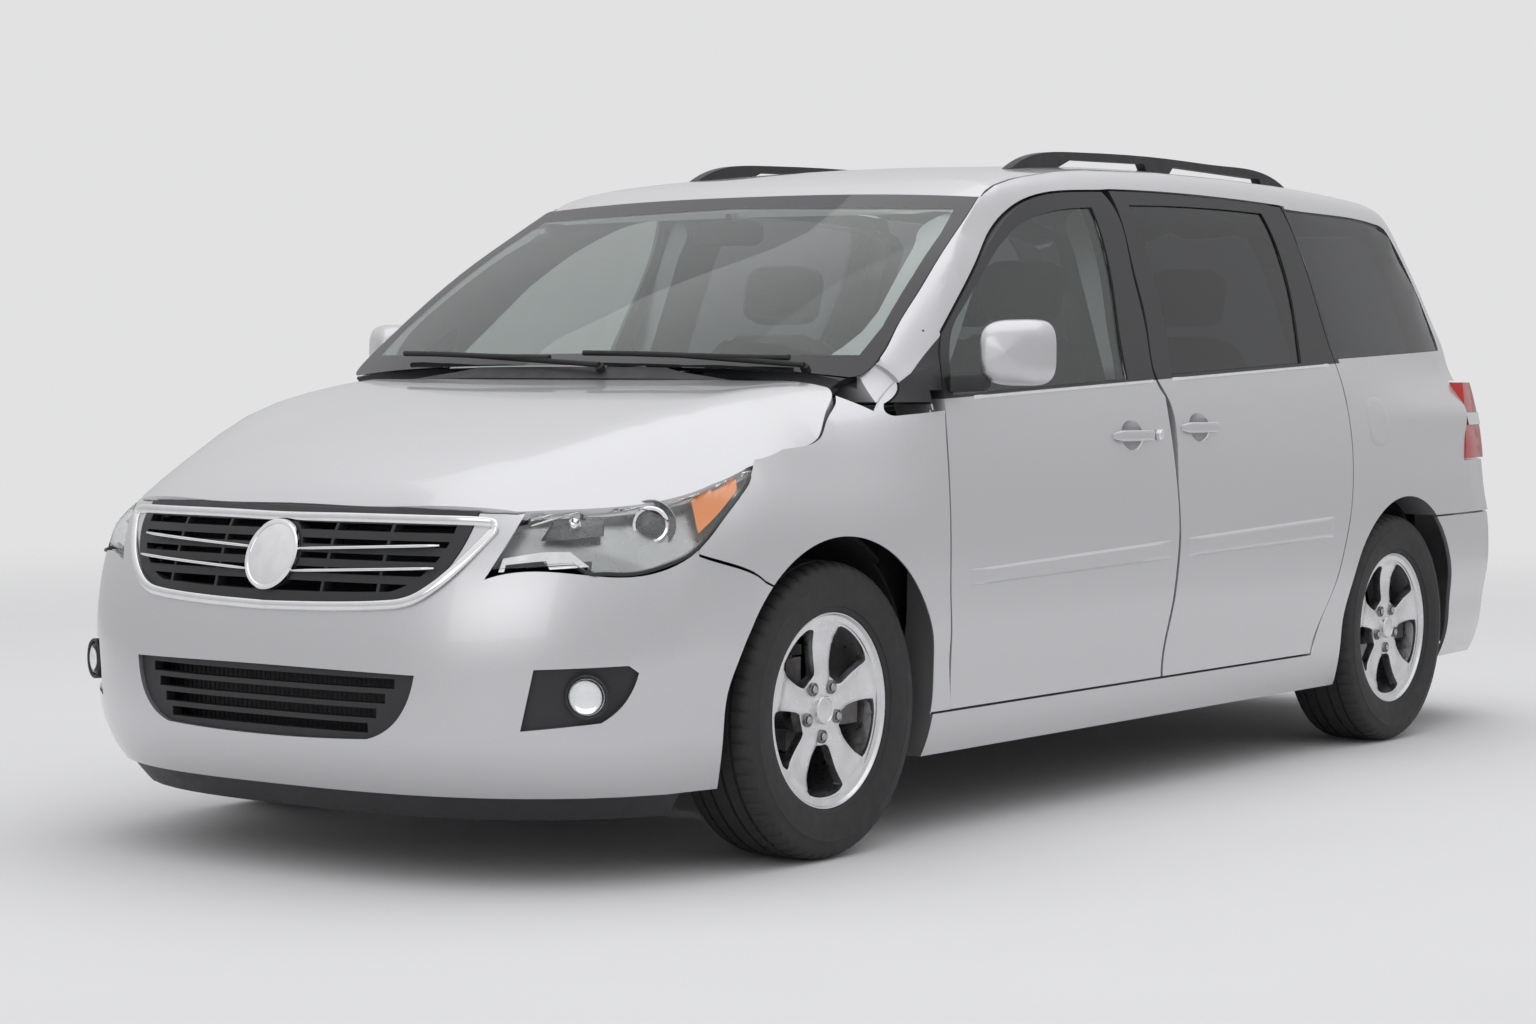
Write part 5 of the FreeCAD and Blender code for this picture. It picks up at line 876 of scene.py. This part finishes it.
# Fog lamps: round clear lens with a plated ring in its black pocket
FOG = Vector((0.790, -2.350, 0.440))
FOG_FACING = Vector((0.42, -0.9, 0.0)).normalized()
for name, finish, outline in (
        ("fog_lamp_ring", trim,
         [(-0.012, 0.050), (0.006, 0.050), (0.009, 0.047), (0.006, 0.043), (-0.004, 0.041), (-0.012, 0.041)]),
        ("fog_lamp_bowl", chrome,
         [(0.0, 0.041), (-0.006, 0.034), (-0.012, 0.022), (-0.015, 0.010), (-0.016, 0.0005)]),
        ("fog_lamp_lens", lamp_glass,
         [(0.001, 0.041), (0.006, 0.036), (0.010, 0.024), (0.0115, 0.012), (0.012, 0.0005)])):
    both(settled(turned(name, outline, about(FOG, FOG_FACING, FOG_FACING.cross(UP)), 40), finish, "body"))

# Radiator behind the lower intake, with upright fins
FIN_COLUMNS = 120


def radiator(u, v):
    return Vector((-0.46 + 0.92 * u, -2.44 + 0.004 * (round(u * FIN_COLUMNS) % 2), 0.300 + 0.21 * v))


settled(shaped("radiator", FIN_COLUMNS, 8, radiator, False, (0, -1, 0)), black_steel, "body", 0.012, angle=20)


# Seats: crowned cloth cushions with sewn channels, made in place of the plain ones

def cushion(name, centre, half, lean, seams, body="body"):
    """Stuffed form about a centre; half is its half sizes, lean its backward tilt, and seams are the places
    across it (share of half) where a channel is sewn along it."""
    turn = Matrix.Rotation(-lean, 3, "X")

    def spot(u, v):
        a, b = 2 * math.pi * u, math.pi * (v - 0.5)
        ring = abs(math.cos(b)) ** CUSHION_POWER
        x = ring * squared(math.cos(a), CUSHION_POWER)
        y = ring * squared(math.sin(a), CUSHION_POWER)
        z = squared(math.sin(b), CUSHION_POWER)
        sink = sum(math.exp(-((x - seam) / 0.05) ** 2) for seam in seams)
        y *= 1 - 0.10 * sink
        z *= 1 - 0.03 * sink
        crown = 0.90 + 0.10 * (1 - x * x)
        return Vector(centre) + turn @ Vector((x * half[0], y * half[1] * crown, z * half[2]))
    piece = settled(shaped(name, 72, 40, spot, True), seat_cloth, body, angle=60)
    return piece


CUSHION_POWER = 0.42
LEAN = math.radians(14)
SEAT_X = 0.42
SEAMS, BENCH_SEAMS = (-0.62, 0.62), (-0.36, 0.36)
SEAT_ROWS = (("front", -0.640, "front_seats"), ("second", 0.330, "second_row_seats"))
for row, start, node_name in SEAT_ROWS:
    for side, way in SIDES:
        x = way * SEAT_X
        base = cushion(f"{row}_{side}_cushion", (x, start + 0.265, 0.612), (0.246, 0.262, 0.066), 0, SEAMS)
        cushion(f"{row}_{side}_backrest", (x, start + 0.590, 0.945), (0.244, 0.058, 0.325), LEAN, SEAMS)
        cushion(f"{row}_{side}_head_rest", (x, start + 0.700, 1.385), (0.128, 0.048, 0.086), LEAN, ())
        if side == "left":
            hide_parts(node_name)
bench = cushion("third_row_cushion", (0, 1.565, 0.512), (0.54, 0.235, 0.056), 0, BENCH_SEAMS)
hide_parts("third_row_bench")
cushion("third_row_backrest", (0, 1.865, 0.790), (0.54, 0.052, 0.27), LEAN, BENCH_SEAMS)
for i, x in enumerate((-0.4, 0.0, 0.4)):
    cushion(f"third_row_head_rest_{i}", (x, 1.945, 1.105), (0.115, 0.042, 0.075), LEAN, ())

# Seat bases under the cushions
for row, start, _ in SEAT_ROWS:
    for side, way in SIDES:
        def base_spot(u, v, way=way, start=start):
            a = 2 * math.pi * u
            grow = 1.0 - 0.12 * math.sin(math.pi * v)
            return Vector((way * SEAT_X + 0.18 * grow * squared(math.cos(a), 0.4),
                           start + 0.275 + 0.19 * grow * squared(math.sin(a), 0.4), 0.345 + 0.22 * v))
        settled(shaped(f"{row}_{side}_seat_base", 40, 8, base_spot, True), cabin_plastic, "body", 0, 0.004)


# Studio: a floor that fades into the backdrop, a large soft lamp above and a weaker one in front
BACKDROP = (0.76, 0.76, 0.765)
FLOOR = (0.72, 0.72, 0.725)


def studio_floor():
    deselect()
    bpy.ops.mesh.primitive_plane_add(size=60, location=(0, 0, 0))
    floor = bpy.context.object
    floor.name = "studio_floor"
    material, tree, shader = plain("studio_floor", FLOOR, Roughness=0.9)
    tinted(tree, shader, FLOOR, 0.01, 1)
    away = node(tree, "ShaderNodeVectorMath", operation="LENGTH")
    tree.links.new(coordinates(tree), away.inputs[0])
    fade = node(tree, "ShaderNodeMapRange", From_Min=5.0, From_Max=13.0, interpolation_type="SMOOTHSTEP")
    tree.links.new(away.outputs["Value"], fade.inputs["Value"])
    clear = tree.nodes.new("ShaderNodeBsdfTransparent")
    mix = tree.nodes.new("ShaderNodeMixShader")
    tree.links.new(fade.outputs["Result"], mix.inputs[0])
    tree.links.new(shader.outputs[0], mix.inputs[1])
    tree.links.new(clear.outputs[0], mix.inputs[2])
    tree.links.new(mix.outputs[0], tree.nodes["Material Output"].inputs["Surface"])
    floor.data.materials.append(material)


def studio_light():
    world = bpy.data.worlds.new("studio")
    bpy.context.scene.world = world
    world.use_nodes = True
    tree = world.node_tree
    tree.nodes.clear()
    path = tree.nodes.new("ShaderNodeLightPath")
    seen = math_node(tree, "MAXIMUM", path.outputs["Is Camera Ray"], path.outputs["Is Transmission Ray"])
    split = tree.nodes.new("ShaderNodeSeparateXYZ")
    tree.links.new(tree.nodes.new("ShaderNodeTexCoord").outputs["Generated"], split.inputs[0])
    rise = node(tree, "ShaderNodeMapRange", From_Min=-0.1, From_Max=0.75)
    tree.links.new(split.outputs["Z"], rise.inputs["Value"])
    light = mixed(tree, rise.outputs["Result"], (0.52, 0.52, 0.53), (0.98, 0.98, 1.0))
    backdrop = tree.nodes.new("ShaderNodeBackground")
    backdrop.inputs["Color"].default_value = (*BACKDROP, 1)
    lamp = tree.nodes.new("ShaderNodeBackground")
    tree.links.new(light, lamp.inputs["Color"])
    lamp.inputs["Strength"].default_value = 0.92
    mix = tree.nodes.new("ShaderNodeMixShader")
    tree.links.new(seen, mix.inputs[0])
    tree.links.new(lamp.outputs[0], mix.inputs[1])
    tree.links.new(backdrop.outputs[0], mix.inputs[2])
    tree.links.new(mix.outputs[0], tree.nodes.new("ShaderNodeOutputWorld").inputs["Surface"])


def soft_lamp(name, place, aim, width, depth, power, mirrored_in_paint=True):
    lamp = bpy.data.lights.new(name, "AREA")
    lamp.shape = "RECTANGLE"
    lamp.size, lamp.size_y, lamp.energy = width, depth, power
    stand = bpy.data.objects.new(name, lamp)
    bpy.context.scene.collection.objects.link(stand)
    stand.location = place
    stand.rotation_euler = (Vector(aim) - Vector(place)).to_track_quat("-Z", "Y").to_euler()
    stand.visible_glossy = mirrored_in_paint


def camera():
    """Camera at the photograph's viewpoint."""
    yaw, pitch, roll = CAMERA_TURN
    data = bpy.data.cameras.new("photo_camera")
    data.lens, data.sensor_width = CAMERA_LENS, 36
    stand = bpy.data.objects.new("photo_camera", data)
    bpy.context.scene.collection.objects.link(stand)
    turn = (Matrix.Rotation(yaw, 4, "Z") @ Matrix.Rotation(math.pi / 2 + pitch, 4, "X")
            @ Matrix.Rotation(roll, 4, "Z"))
    stand.rotation_euler = turn.to_euler()
    stand.location = CAMERA_PLACE
    bpy.context.scene.camera = stand


CAMERA_PLACE = (5.2611, -7.8007, 1.1628)
CAMERA_TURN = (0.6304, -0.0445, 0.0017)
CAMERA_LENS = 75.1

studio_floor()
studio_light()
soft_lamp("overhead_softbox", (0.5, -0.5, 5.0), (0, 0, 0), 6.0, 8.0, 60)
soft_lamp("overhead_fill", (0.5, 1.5, 6.0), (0, 0, 0), 5.0, 5.0, 60, False)
soft_lamp("front_softbox", (2.0, -9.0, 3.0), (0, -1.5, 0.6), 5.0, 3.0, 45)
camera()
bpy.context.scene.view_settings.view_transform = "Standard"
